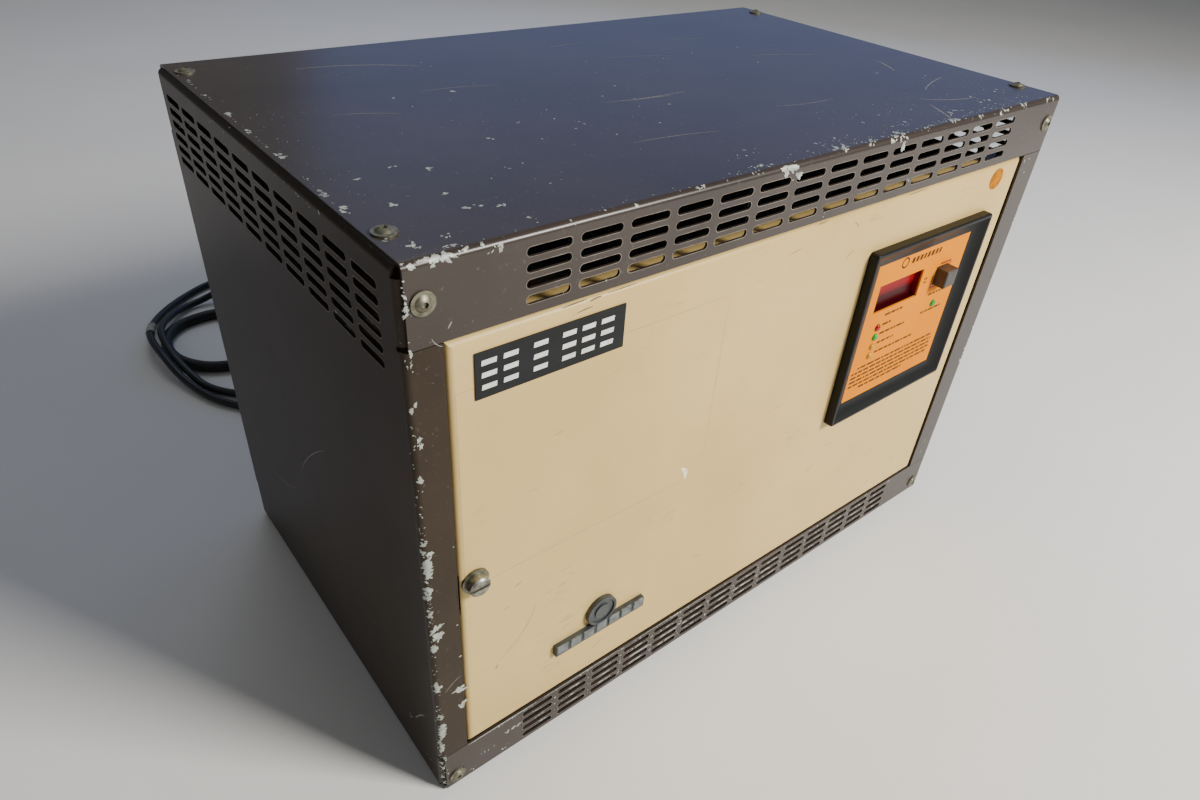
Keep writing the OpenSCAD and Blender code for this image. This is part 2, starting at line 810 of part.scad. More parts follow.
// A red tray glued behind the panel, its floor set back
module display_window() {
    deep = display_recess - panel_t;
    flange = 2 * window_flange;
    color([0.6, 0.05, 0.08, 0.7]) translate([bezel_x + display_pos[0], front_y, bezel_z + display_pos[1]])
        difference() {
            union() {
                translate([-display_w / 2 - window_flange, 0, -display_h / 2 - window_flange])
                    cube([display_w + flange, window_t, display_h + flange]);
                translate([-display_w / 2 - window_t, 0, -display_h / 2 - window_t])
                    cube([display_w + 2 * window_t, deep + window_t, display_h + 2 * window_t]);
            }
            translate([-display_w / 2, -1, -display_h / 2]) cube([display_w, deep + 1, display_h]);
        }
}

module display_module() {
    top = front_y + display_recess - panel_t + window_t;
    deep = board_y - top - 0.1;
    digit_w = 10;
    color("#1c0d0e") translate([bezel_x + display_pos[0], top + 0.1, bezel_z + display_pos[1]])
        difference() {
            translate([-display_w / 2 + 2, 0, -display_h / 2 + 1])
                cube([display_w - 4, deep, display_h - 2]);
            for (i = [-1.5 : 1.5])
                translate([i * (digit_w + 1.5) - digit_w / 2, -1, -7]) cube([digit_w, 1.4, 14]);
        }
}

// A domed lamp on a tube that stands on the board
module status_lamp(at) {
    length = board_y - lamp_dome_y;
    on_panel(at, lamp_dome_y) rotate([180, 0, 0]) {
        cylinder(d = lamp_d, h = length);
        sphere(d = lamp_d);
        translate([0, 0, length - 2]) cylinder(d = lamp_d + 1, h = 2);
    }
}

module red_lamp() {
    color("#c8202a") status_lamp([lamp_x, lamp_top_z]);
}

module green_lamps() {
    color("#3fae5a") {
        status_lamp([lamp_x, lamp_top_z - lamp_pitch]);
        status_lamp(lamp_auto);
    }
}

module yellow_lamps() {
    color("#e0c02a") for (i = [2, 3])
        status_lamp([lamp_x, lamp_top_z - i * lamp_pitch]);
}

module control_board() {
    color("#2f6b3f") translate([bezel_x, board_y, bezel_z]) difference() {
        translate([-board_size / 2, 0, -board_size / 2]) cube([board_size, board_t, board_size]);
        for (x = [-1, 1], z = [-1, 1])
            translate([x * (board_size / 2 - 5), -1, z * (board_size / 2 - 5)])
                rotate([-90, 0, 0]) cylinder(d = 3.4, h = board_t + 2);
    }
}

module board_spacers() {
    length = board_y - front_y - housing_lip;
    color("#c9b26a") for (x = [-1, 1], z = [-1, 1])
        translate([bezel_x + x * (board_size / 2 - 5), front_y + housing_lip,
            bezel_z + z * (board_size / 2 - 5)])
            rotate([-90, 0, 0]) difference() {
                hex(6, length);
                translate([0, 0, -1]) cylinder(d = 3.2, h = length + 2);
            }
}

// Capacitors, a small mains transformer, relays and circuits on the board's back
module board_parts() {
    back = board_y + board_t;
    color("#3a3d42") translate([bezel_x, back, bezel_z]) {
        translate([-52, 0, -50]) cube([42, 32, 35]);
        for (z = [-46, -24])
            translate([0, 0, z]) cube([19, 16, 15]);
        for (i = [0 : 2])
            translate([-45 + i * 24, 0, 34]) cube([18, 4, 8]);
        translate([-30, 0, 2]) cube([36, 5, 14]);
        for (i = [0 : 2])
            translate([34, 0, -40 + i * 22]) rotate([-90, 0, 0]) cylinder(d = 16, h = 25);
        translate([38, 0, 44]) rotate([-90, 0, 0]) cylinder(d = 10, h = 12);
    }
}

// The switch behind the push button: the button's stem slides in its bore
module button_switch() {
    stem_end = button_stem_end_y;
    front = stem_end - 2;
    color("#d8d4c8") translate([bezel_x + button_pos[0], front, bezel_z + button_pos[1]])
        difference() {
            translate([-7, 0, -7]) cube([14, board_y - front, 14]);
            translate([0, -1, 0]) rotate([-90, 0, 0])
                cylinder(d = button_stem_d + 2 * button_clear, h = 3 + button_travel + button_clear);
        }
}

button_stem_end_y = board_y - button_travel - 1.6;

module push_button() {
    face_y = panel_front_y - button_proud;
    flange = button_size + 2 * (button_gap + button_flange_lap);
    flange_y = front_y + button_clear;
    color("#55504b") translate([bezel_x + button_pos[0], 0, bezel_z + button_pos[1]])
        difference() {
            union() {
                translate([-button_size / 2, face_y, -button_size / 2])
                    cube([button_size, flange_y - face_y + 0.1, button_size]);
                translate([-flange / 2, flange_y, -flange / 2])
                    cube([flange, button_flange_t, flange]);
                translate([0, flange_y, 0]) rotate([-90, 0, 0])
                    cylinder(d = button_stem_d, h = button_stem_end_y - flange_y);
            }
            for (s = [-1, 1], a = [0, 90])
                rotate([0, a, 0]) translate([s * button_size / 2, face_y, 0]) rotate([0, 0, 45])
                    cube([1, 1, 2 * button_size], center = true);
        }
}

// Trim on the door

module name_label() {
    color("#2a2e30") translate([label_pos[0], front_y - label_t, label_pos[1]])
        cube([label_w, label_t, label_h]);
}

module door_sticker() {
    color("#d9a62e") translate([sticker_pos[0], front_y, sticker_pos[1]])
        rotate([90, 0, 0]) cylinder(d = sticker_d, h = sticker_t);
}

// A plain bar with a ringed disc above it
module badge() {
    ring_z = badge_h + badge_ring_d / 2 - 1;
    color("#6f777a") translate([badge_pos[0], front_y, badge_pos[1]]) rotate([90, 0, 0])
        difference() {
            linear_extrude(badge_t) {
                square([badge_w, badge_h]);
                translate([badge_w / 2, ring_z]) circle(d = badge_ring_d);
            }
            translate([badge_w / 2, ring_z, badge_t - 1]) difference() {
                cylinder(d = badge_ring_d - 4, h = 2);
                translate([0, 0, -1]) cylinder(d = badge_ring_d - 12, h = 4);
                translate([-badge_ring_d, -badge_ring_d, -1])
                    cube([2 * badge_ring_d, badge_ring_d - badge_ring_d / 2 + 2, 4]);
            }
        }
}

// Lock

module lock_washer() {
    color("#a8aca6") translate([lock_x, front_y, lock_z]) rotate([90, 0, 0]) difference() {
        cylinder(d = lock_washer_d, h = lock_washer_t);
        translate([0, 0, -1])
            cylinder(d = lock_spindle_d + 2 * lock_gap, h = lock_washer_t + 2);
    }
}

// Head, spindle, cam and nut turn as one; at rest the cam points down, unlocked
module lock_parts() {
    head_back = lock_washer_t + 0.1;
    cam_back = sheet_t + 0.3 + cam_t;
    shank = head_back + cam_back + lock_nut_t;
    color("#9a9d98") translate([lock_x, front_y, lock_z]) rotate([90, 0, 0]) {
        difference() {
            union() {
                translate([0, 0, head_back]) cylinder(d = lock_head_d, h = lock_head_h - 1);
                translate([0, 0, head_back + lock_head_h - 1.01])
                    cylinder(d1 = lock_head_d, d2 = lock_head_d - 2.4, h = 1.01);
                translate([0, 0, -cam_back - lock_nut_t - 1])
                    cylinder(d = lock_spindle_d, h = shank + 1.1);
            }
            translate([-lock_head_d, -lock_slot_w / 2, head_back + lock_head_h - lock_slot_deep])
                cube([2 * lock_head_d, lock_slot_w, lock_slot_deep + 1]);
        }
        translate([0, 0, -cam_back]) linear_extrude(cam_t) {
            circle(d = cam_w);
            translate([-cam_w / 2, -cam_reach]) square([cam_w, cam_reach]);
        }
        translate([0, 0, -cam_back - lock_nut_t]) hex(lock_nut_w, lock_nut_t + 0.01);
    }
}

// Transformer

module core_at(z) {
    translate([core_x, core_y, z]) children();
}

module at_core_bolts() {
    for (s = [-1, 1], z = [core_low + core_bolt_in, core_high - core_bolt_in])
        translate([core_x + s * (core_w / 2 - core_bolt_in), core_y, z])
            rotate([90, 0, 0]) children();
}

module transformer_core() {
    window_h = core_h - 2 * core_yoke;
    color("#4a4541") difference() {
        translate([core_x - core_w / 2, core_front, core_low]) cube([core_w, core_stack, core_h]);
        for (s = [-1, 1])
            core_at(core_low + core_h / 2)
                translate([s * (core_leg + core_window) / 2, 0, 0])
                    cube([core_window, 2 * core_stack, window_h], center = true);
        at_core_bolts() cylinder(d = core_bolt_d + 0.4, h = 2 * core_stack, center = true);
    }
}

former_h = core_h - 2 * core_yoke - 2 * former_gap;
former_in_x = core_leg + 2 * former_gap;
former_in_y = core_stack + 2 * former_gap;
former_out_x = core_leg + 2 * core_window - 1;
former_out_y = core_stack + 2 * core_window - 6;
former_low = core_low + core_yoke + former_gap;
winding_h = (former_h - 3 * former_flange) / 2;

module coil_former() {
    tube_x = former_in_x + 2 * former_wall;
    tube_y = former_in_y + 2 * former_wall;
    color("#2b2b26") core_at(former_low) difference() {
        union() {
            translate([-tube_x / 2, -tube_y / 2, 0]) cube([tube_x, tube_y, former_h]);
            for (z = [0, winding_h + former_flange, former_h - former_flange])
                translate([-former_out_x / 2, -former_out_y / 2, z])
                    cube([former_out_x, former_out_y, former_flange]);
        }
        translate([-former_in_x / 2, -former_in_y / 2, -1])
            cube([former_in_x, former_in_y, former_h + 2]);
    }
}

module winding(low) {
    in_x = former_in_x + 2 * former_wall + 0.1;
    in_y = former_in_y + 2 * former_wall + 0.1;
    out_x = former_out_x - 2 * coil_margin;
    out_y = former_out_y - 2 * coil_margin;
    core_at(low + 0.05) linear_extrude(winding_h - 0.1) difference() {
        translate([-out_x / 2, -out_y / 2]) rounded_rect(out_x, out_y, core_window / 2);
        square([in_x, in_y], center = true);
    }
}

// The mains winding below, the charging winding above
module transformer_windings() {
    color("#b58a3c") {
        winding(former_low + former_flange);
        winding(former_low + 2 * former_flange + winding_h);
    }
}

// One clamping angle: the upright lies on Y = 0, the foot reaches towards -Y
module clamp_angle(holes) {
    difference() {
        union() {
            translate([-core_w / 2, -clamp_t, 0]) cube([core_w, clamp_t, clamp_w + core_lift]);
            translate([-core_w / 2, -clamp_foot, 0]) cube([core_w, clamp_foot, clamp_t]);
        }
        for (s = [-1, 1]) {
            translate([s * (core_w / 2 - core_bolt_in), 0, core_lift + core_bolt_in])
                rotate([90, 0, 0])
                    cylinder(d = core_bolt_d + 0.4, h = 4 * clamp_t, center = true);
            if (holes)
                translate([s * clamp_hole_x, -clamp_hole_y, -1])
                    cylinder(d = stud_d + 0.6, h = clamp_t + 2);
        }
    }
}

module core_clamps() {
    color("#6d6f70") for (f = [0, 180]) {
        core_at(sheet_t) rotate([0, 0, f]) translate([0, -core_stack / 2, 0]) clamp_angle(true);
        core_at(core_high + core_lift) rotate([0, 0, f]) translate([0, -core_stack / 2, 0])
            mirror([0, 0, 1]) clamp_angle(false);
    }
}

module core_bolts() {
    reach = core_stack / 2 + clamp_t;
    color("#a9a893") at_core_bolts() {
        cylinder(d = core_bolt_d, h = 2 * (reach + 8), center = true);
        translate([0, 0, reach]) hex(foot_nut_w, foot_nut_h);
        translate([0, 0, -reach - foot_nut_h]) hex(foot_nut_w, foot_nut_h);
    }
}

board_plate_z = core_high + core_lift;

module terminal_board() {
    wide_y = core_stack + 2 * clamp_foot;
    color("#5c3b22") core_at(board_plate_z) difference() {
        translate([-board_plate_w / 2, -wide_y / 2, 0]) cube([board_plate_w, wide_y, board_plate_t]);
        for (i = [-2 : 2], s = [-1, 1])
            translate([i * 22, s * 52, -1]) cylinder(d = 6.2, h = board_plate_t + 2);
    }
}

module terminal_studs() {
    color("#c6a54e") core_at(board_plate_z) for (i = [-2 : 2], s = [-1, 1])
        translate([i * 22, s * 52, 0]) {
            cylinder(d = 6, h = board_plate_t + 16);
            translate([0, 0, board_plate_t]) hex(10, 5);
        }
}

// Where parts are bolted down on the base: transformer feet, plate foot, bracket foot
module at_base_studs() {
    for (s = [-1, 1], f = [-1, 1])
        translate([core_x + s * clamp_hole_x,
            core_y + f * (core_stack / 2 + clamp_hole_y), sheet_t]) children();
}

module at_small_studs() {
    for (y = plate_foot_ys)
        translate([plate_x + plate_foot / 2, y, sheet_t]) children();
    for (x = [bracket_x + 20, bracket_x + bracket_len - 20])
        translate([x, rail_bracket_y - plate_foot / 2 - 1, sheet_t]) children();
}

module base_studs() {
    color("#a9a893") {
        at_base_studs() cylinder(d = stud_d, h = stud_h);
        at_small_studs() cylinder(d = screw_d, h = stud_h);
    }
}

module base_nuts() {
    color("#b8b4a0") {
        at_base_studs() translate([0, 0, clamp_t]) difference() {
            hex(foot_nut_w, foot_nut_h);
            translate([0, 0, -1]) cylinder(d = stud_d + 0.1, h = foot_nut_h + 2);
        }
        at_small_studs() translate([0, 0, plate_t]) difference() {
            hex(nut_w, nut_h);
            translate([0, 0, -1]) cylinder(d = screw_d + 0.1, h = nut_h + 2);
        }
    }
}

// Rectifier

module component_plate() {
    window_w = module_w + 2 * window_margin;
    window_h = module_h + 2 * window_margin;
    color("#8d9294") difference() {
        union() {
            translate([plate_x, plate_front, sheet_t])
                cube([plate_t, plate_len, plate_top - sheet_t]);
            translate([plate_x, plate_front, sheet_t]) cube([plate_foot, plate_len, plate_t]);
        }
        for (y = module_ys)
            translate([plate_x - 1, y - window_w / 2, sink_z - window_h / 2])
                cube([plate_t + 2, window_w, window_h]);
        at_small_studs() translate([0, 0, -1]) cylinder(d = screw_d + 0.5, h = plate_t + 2);
    }
}

module heat_sink() {
    face_x = plate_x + plate_t;
    color("#9da3a6") translate([face_x, sink_y, sink_z - sink_h / 2]) linear_extrude(sink_h) {
        translate([0, -sink_w / 2]) square([sink_base, sink_w]);
        for (i = [0 : fin_count])
            translate([0, (i - fin_count / 2) * fin_pitch - fin_t / 2])
                square([sink_base + fin_l, fin_t]);
    }
}

module rectifier_modules() {
    face_x = plate_x + plate_t;
    color("#24262b") for (y = module_ys)
        translate([face_x - module_t, y - module_w / 2, sink_z - module_h / 2]) {
            cube([module_t, module_w, module_h]);
            for (i = [0 : 2])
                translate([-module_post_h, module_w / 2, 17 + i * 30])
                    rotate([0, 90, 0]) cylinder(d = module_post_d, h = module_post_h + 1);
        }
}

module output_busbars() {
    x = plate_x + plate_t - module_t - module_post_h - busbar_t;
    span = module_ys[1] - module_ys[0] + module_w;
    color("#c27a45") for (i = [0 : 2])
        translate([x, module_ys[0] - module_w / 2, sink_z - module_h / 2 + 17 + i * 30 - 9])
            cube([busbar_t, i == 1 ? span : span + 24, 18]);
}

// Switchgear on its rail

module rail_bracket() {
    color("#8d9294") difference() {
        translate([bracket_x, 0, sheet_t]) {
            translate([0, rail_bracket_y - rail_bracket_t, 0])
                cube([bracket_len, rail_bracket_t, rail_bracket_top - sheet_t]);
            translate([0, rail_bracket_y - plate_foot, 0]) cube([bracket_len, plate_foot, plate_t]);
        }
        at_small_studs() translate([0, 0, -1]) cylinder(d = screw_d + 0.5, h = plate_t + 2);
    }
}

// A top-hat rail: the crown stands away from its bracket
module din_rail() {
    crown = 25;
    lip = (rail_h - crown) / 2;
    color("#c7c9c4") translate([bracket_x + 2, rail_bracket_y - rail_bracket_t, rail_z])
        rotate([90, 0, 90]) linear_extrude(bracket_len - 4) {
            translate([-rail_t, -crown / 2]) square([rail_t, crown]);
            for (s = [-1, 1]) {
                translate([-rail_d, s * (crown / 2 - rail_t / 2) - rail_t / 2])
                    square([rail_d, rail_t]);
                translate([-rail_d, s * (crown / 2 + lip / 2 - rail_t / 2) - lip / 2 - rail_t / 2])
                    square([rail_t, lip + rail_t]);
            }
        }
}

// A modular device: base, neck and front step in one moulding
module rail_device(x, w, deep) {
    low = rail_z - gear_h / 2;
    translate([x, rail_face_y - deep, low]) {
        translate([0, deep - 44, 0]) cube([w, 44, gear_h]);
        translate([0, 0, gear_h / 2 - 22.5]) cube([w, deep, 45]);
    }
}

module contactor() {
    color("#d9d6cc") rail_device(bracket_x + gear_in, contactor_w, 68);
}

module circuit_breakers() {
    color("#cfd2d4") for (i = [0, 1]) {
        x = bracket_x + gear_in + contactor_w + 2 + i * (breaker_w + 0.3);
        rail_device(x, breaker_w, 58);
        translate([x + breaker_w / 2 - 5, rail_face_y - 66, rail_z - 5]) cube([10, 9, 14]);
    }
}

module terminal_blocks() {
    first = bracket_x + blocks_in;
    color("#9aa3a8") for (i = [0 : block_count - 1])
        translate([first + i * block_pitch, rail_face_y - 40, rail_z - 26]) difference() {
            cube([block_w, 40, 52]);
            for (z = [8, 44])
                translate([block_w / 2, -1, z]) rotate([-90, 0, 0]) cylinder(d = 5, h = 12);
        }
}

module fuse_base() {
    color("#cfc8b8") translate([fuse_pos[0] - fuse_base_w / 2, fuse_pos[1] - fuse_base_l / 2, sheet_t]) {
        cube([fuse_base_w, fuse_base_l, fuse_base_h]);
        for (y = [12, fuse_base_l - 32])
            translate([fuse_base_w / 2 - 8, y, fuse_base_h]) cube([3, 20, 30]);
        for (y = [12, fuse_base_l - 32])
            translate([fuse_base_w / 2 + 5, y, fuse_base_h]) cube([3, 20, 30]);
    }
}

module fuse_link() {
    z = sheet_t + fuse_base_h + 8;
    color("#e4ded0") translate([fuse_pos[0], fuse_pos[1], z]) {
        translate([-15, -25, 0]) cube([30, 50, 40]);
        translate([-4.8, -45, 8]) cube([9.6, 90, 15]);
    }
}

module current_shunt() {
    color("#b98a4a") translate([shunt_pos[0], shunt_pos[1], sheet_t]) {
        for (s = [-1, 1])
            translate([-12, s * 45 - 14, 0]) cube([24, 28, 22]);
        for (i = [-1 : 1])
            translate([i * 7 - 1, -32, 6]) cube([2, 64, 12]);
    }
}

// Cable entries

// Gland: thread through the sheet, hexagon outside, domed cap with the cord's hole
module gland(x, thread_r, cord_d) {
    face = half_d - sheet_t;
    hex_t = 6;
    translate([x, face, gland_z]) rotate([-90, 0, 0]) difference() {
        union() {
            translate([0, 0, -sheet_t - gland_nut_t - 2])
                cylinder(r = thread_r, h = sheet_t + gland_nut_t + 3);
            hex(2 * thread_r + 6, hex_t);
            translate([0, 0, hex_t]) cylinder(r = thread_r + 2, h = gland_reach - hex_t - 6);
            translate([0, 0, gland_reach - 6.01])
                cylinder(r1 = thread_r + 2, r2 = thread_r - 1, h = 6.01);
        }
        translate([0, 0, -20]) cylinder(d = cord_d + 0.4, h = 60);
    }
}

module mains_gland() {
    color("#3b3d40") gland(mains_gland_x, mains_thread_r, mains_d);
}

module battery_gland() {
    color("#3b3d40") gland(battery_gland_x, battery_thread_r, battery_d);
}

module gland_nut(x, thread_r) {
    translate([x, half_d - 2 * sheet_t - gland_nut_t, gland_z]) rotate([-90, 0, 0]) difference() {
        hex(2 * thread_r + 5, gland_nut_t);
        translate([0, 0, -1]) cylinder(r = thread_r + 0.05, h = gland_nut_t + 2);
    }
}

module gland_nuts() {
    color("#5a5d60") {
        gland_nut(mains_gland_x, mains_thread_r);
        gland_nut(battery_gland_x, battery_thread_r);
    }
}

module mains_lead() {
    color("#0e1a2b") cord(mains_route, mains_d, 2, 10);
}

module battery_lead() {
    color("#10161f") cord(battery_route, battery_d, 1, 10);
}

module battery_tail() {
    color("#10161f") cord(tail_route, battery_d, 1, 10);
}

module battery_coil() {
    wide = coil_turns_wide * battery_d;
    high = coil_turns_high * battery_d;
    color("#10161f") translate([coil_pos[0], coil_pos[1], 0]) rotate_extrude()
        translate([coil_mid_r - wide / 2, 0]) square([wide, high]);
}

// A straight two-pin plug lying on its side, pins towards +X
module mains_plug() {
    color("#1a1d20") translate(plug_at) rotate([0, 90, 0]) {
        cylinder(d1 = mains_d + 4, d2 = 24, h = 22);
        translate([0, 0, 22]) cylinder(d1 = 24, d2 = plug_d, h = 14);
        translate([0, 0, 36]) cylinder(d = plug_d, h = plug_len - 36);
    }
}

module plug_pins() {
    color("#b9bcbb") translate(plug_at) for (s = [-1, 1])
        translate([plug_len, s * plug_pin_gap / 2, 0]) rotate([0, 90, 0])
            cylinder(d = plug_pin_d, h = plug_pin_l);
}

// A two-pole battery connector, open at its mating face towards +X
module battery_connector() {
    l = connector_size[0];
    w = connector_size[1];
    h = connector_size[2];
    end = tail_route[len(tail_route) - 1];
    color("#6a6d70") translate([end[0], end[1] - w / 2, 0]) difference() {
        cube([l, w, h]);
        for (y = [5, w / 2 + 2])
            translate([l - 30, y, 6]) cube([31, w / 2 - 7, h - 12]);
    }
}

base_tray();
top_cover();
left_side_panel();
right_side_panel();
rear_panel();
cabinet_screws();
weld_nuts();
hinge_brackets();
hinge_pins();
transformer_core();
coil_former();
transformer_windings();
core_clamps();
core_bolts();
terminal_board();
terminal_studs();
base_studs();
base_nuts();
component_plate();
heat_sink();
rectifier_modules();
output_busbars();
rail_bracket();
din_rail();
contactor();
circuit_breakers();
terminal_blocks();
fuse_base();
fuse_link();
current_shunt();
mains_gland();
battery_gland();
gland_nuts();
mains_lead();
mains_plug();
plug_pins();
battery_lead();
battery_coil();
battery_tail();
battery_connector();
front_door();
door_bushes();
control_bezel();
control_panel();
control_housing();
display_window();
display_module();
red_lamp();
green_lamps();
yellow_lamps();
control_board();
board_spacers();
board_parts();
button_switch();
name_label();
badge();
door_sticker();
lock_washer();
lock_parts();
push_button();
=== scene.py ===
"""Battery charger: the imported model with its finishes, print, cords, wiring and wear.

Shapes are worked out in millimetres and made in metres; the camera and the lamps are
placed in metres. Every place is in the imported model's own frame: +X right, +Y back and
+Z up, with the origin in the middle of the underside.
"""

import math

import bpy
import numpy as np
from bpy.props import FloatProperty, FloatVectorProperty, IntProperty, PointerProperty
from mathutils import Matrix, Vector


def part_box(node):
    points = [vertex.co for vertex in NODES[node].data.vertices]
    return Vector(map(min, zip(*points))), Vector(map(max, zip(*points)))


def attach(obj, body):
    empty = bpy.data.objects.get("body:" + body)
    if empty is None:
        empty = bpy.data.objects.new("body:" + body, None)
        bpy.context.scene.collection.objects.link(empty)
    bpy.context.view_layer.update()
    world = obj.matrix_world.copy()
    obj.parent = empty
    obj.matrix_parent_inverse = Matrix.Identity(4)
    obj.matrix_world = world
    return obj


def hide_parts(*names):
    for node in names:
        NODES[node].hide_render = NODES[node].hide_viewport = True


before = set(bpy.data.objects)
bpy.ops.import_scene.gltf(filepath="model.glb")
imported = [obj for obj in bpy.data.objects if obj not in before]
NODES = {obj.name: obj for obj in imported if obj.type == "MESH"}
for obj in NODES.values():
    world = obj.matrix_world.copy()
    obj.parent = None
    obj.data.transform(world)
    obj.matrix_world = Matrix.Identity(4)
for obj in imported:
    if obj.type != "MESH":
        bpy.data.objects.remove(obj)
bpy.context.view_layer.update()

bl_info = {
    "name": "Battery charger",
    "version": (1, 0, 0),
    "blender": (4, 5, 0),
    "location": "View3D > Sidebar > Charger",
    "description": "Finishes, print, cords, wiring and wear of a sheet-metal battery charger",
    "category": "Object",
}

MM = 0.001


def reach(node, side, axis):
    """How far a CAD node reaches, in millimetres: side 0 is its lowest corner and 1 its
    highest, and axis 0, 1 or 2 is X, Y or Z."""
    return round(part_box(node)[side][axis] / MM, 2)


FRONT = reach("top_cover", 0, 1)
REAR = reach("top_cover", 1, 1)
TOP = reach("top_cover", 1, 2)
COVER = reach("top_cover", 1, 0)
SIDE = reach("right_side_panel", 1, 0)
PANEL = (reach("left_side_panel", 0, 2), reach("left_side_panel", 1, 2))
FOIL = reach("control_panel", 0, 1)
BEZEL = [(reach("control_bezel", 0, k) + reach("control_bezel", 1, k)) / 2 for k in (0, 2)]
BEZEL_HALF = reach("control_bezel", 1, 0) - BEZEL[0]

# Outside radius of the cabinet's folds
FOLD = 3.5
# The vents' slots: the distances between their middles, the front's columns and top rows,
# and the bars between the rows of the lower front vent
COLUMN_PITCH = 30.0
ROW_PITCH = 8.0
COLUMNS = (np.arange(14) - 6.5) * COLUMN_PITCH
UPPER_ROW = 378.6
LOWER_ROW = 32.0
BARS = (12.0, 20.0, 28.0)

# The cords' routes, as in the part's source
MAINS_ROUTE = [
    (-160, 188.5, 60), (-160, 206, 60), (-162, 232, 50), (-168, 260, 26), (-188, 286, 7),
    (-222, 312, 4.6), (-251, 350, 4.8), (-267, 396, 8), (-275, 444, 17), (-275, 492, 17),
    (-257, 540, 9), (-222, 580, 4.8), (-175, 606, 4.4), (-124, 606, 4.4), (-80, 580, 4.4),
    (-54, 534, 4.4), (-46, 482, 4.4), (-54, 430, 4.4), (-80, 384, 4.4), (-122, 350, 4.4),
    (-172, 334, 4.4), (-217, 340, 4.4), (-249, 374, 4.8), (-262, 416, 12), (-266, 460, 17),
    (-261, 502, 17), (-241, 540, 9), (-219, 559, 5.6), (-198, 564, 7.2), (-182, 562.5, 12.6),
    (-169, 560.6, 17.4), (-161, 560, 18.5), (-156, 560, 18.5), (-150, 560, 18.5),
]
BATTERY_ROUTE = [
    (-100, 188.5, 60), (-100, 206, 59.2), (-101, 230, 52), (-104, 252, 39), (-108, 274, 26),
    (-114, 300, 17), (-122, 334, 16), (-138, 362, 15), (-160, 384, 8), (-186, 396, 6.2),
    (-214, 401, 6.2), (-240, 414, 6.2), (-258, 438, 6.2), (-264, 468, 6.2), (-257, 498, 6.2),
    (-237, 518, 6.2), (-207, 524, 6.2), (-175, 518, 6.2), (-143, 504, 6.2), (-110, 492, 8),
    (-78, 486, 14), (-47, 484, 16), (-16, 486, 13), (12, 492, 8), (38, 499, 6.2),
]
# The battery lead's coil: its middle, its middle turn, and a lane, one lead wide
COIL_POS = (59, 422)
COIL_MID_R = 68
LANE = 12.0
COIL_LOW = 6.2
TAIL_ROUTE = [
    (70, 501.5, 18.2), (95, 499, 16.5), (118, 496.5, 14), (138, 495, 15.2), (156, 495, 17),
    (170, 495, 17),
]
# Distance between the points of a cord's route once it is smooth
CORD_STEP = 6.0


# Shapes, in millimetres


def linear(code):
    """An sRGB hex code, or three values that are linear already, as linear red,
    green, blue and alpha."""
    if not isinstance(code, str):
        return (*(float(v) for v in code), 1.0)
    c = np.array([int(code[i : i + 2], 16) for i in (1, 3, 5)]) / 255
    c = np.where(c <= 0.04045, c / 12.92, ((c + 0.055) / 1.055) ** 2.4)
    return (float(c[0]), float(c[1]), float(c[2]), 1.0)


def quads_of(rows, cols, closed_rows=False, closed_cols=False):
    """Corner numbers of the quads of a grid of points that is stored row by row."""
    i = np.arange(rows if closed_rows else rows - 1)[:, None]
    j = np.arange(cols if closed_cols else cols - 1)[None, :]
    i2, j2 = (i + 1) % rows, (j + 1) % cols
    return np.stack([i * cols + j, i2 * cols + j, i2 * cols + j2, i * cols + j2], -1).reshape(-1, 4)


def volume(points, faces):
    """Signed volume inside the faces: the sum of the tetrahedra to the middle."""
    p = points[faces] - points.mean(0)
    v = np.einsum("ij,ij->i", p[:, 0], np.cross(p[:, 1], p[:, 2]))
    if faces.shape[1] == 4:
        v = v + np.einsum("ij,ij->i", p[:, 0], np.cross(p[:, 2], p[:, 3]))
    return v.sum() / 6


def make(name, parts, material, body, smooth=35):
    """One mesh piece from (points, faces) parts in millimetres, which rides on a body.

    A part's faces are quads or triangles. smooth is the angle in degrees over which
    an edge stays sharp.
    """
    if isinstance(parts, tuple):
        parts = [parts]
    shift, loops, totals, points = 0, [], [], []
    for p, f in parts:
        p = np.asarray(p, float).reshape(-1, 3)
        points.append(p)
        loops.append((np.asarray(f) + shift).ravel())
        totals.append(np.full(len(f), f.shape[1]))
        shift += len(p)
    points, loops, totals = (np.concatenate(a) for a in (points, loops, totals))
    mesh = bpy.data.meshes.new(name)
    mesh.vertices.add(len(points))
    mesh.vertices.foreach_set("co", (points * MM).astype(np.float32).ravel())
    mesh.loops.add(len(loops))
    mesh.loops.foreach_set("vertex_index", loops.astype(np.int32))
    mesh.polygons.add(len(totals))
    mesh.polygons.foreach_set("loop_start", np.r_[0, np.cumsum(totals)[:-1]].astype(np.int32))
    mesh.polygons.foreach_set("use_smooth", np.ones(len(totals), bool))
    mesh.update(calc_edges=True)
    mesh.validate()
    mesh.set_sharp_from_angle(angle=math.radians(smooth))
    piece = bpy.data.objects.new(name, mesh)
    bpy.context.scene.collection.objects.link(piece)
    mesh.materials.append(material)
    if body:
        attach(piece, body)
    return piece


def outward(points, faces):
    """The part with its faces turned so that a closed shell faces outwards."""
    return (points, faces if volume(points, faces) > 0 else faces[:, ::-1])


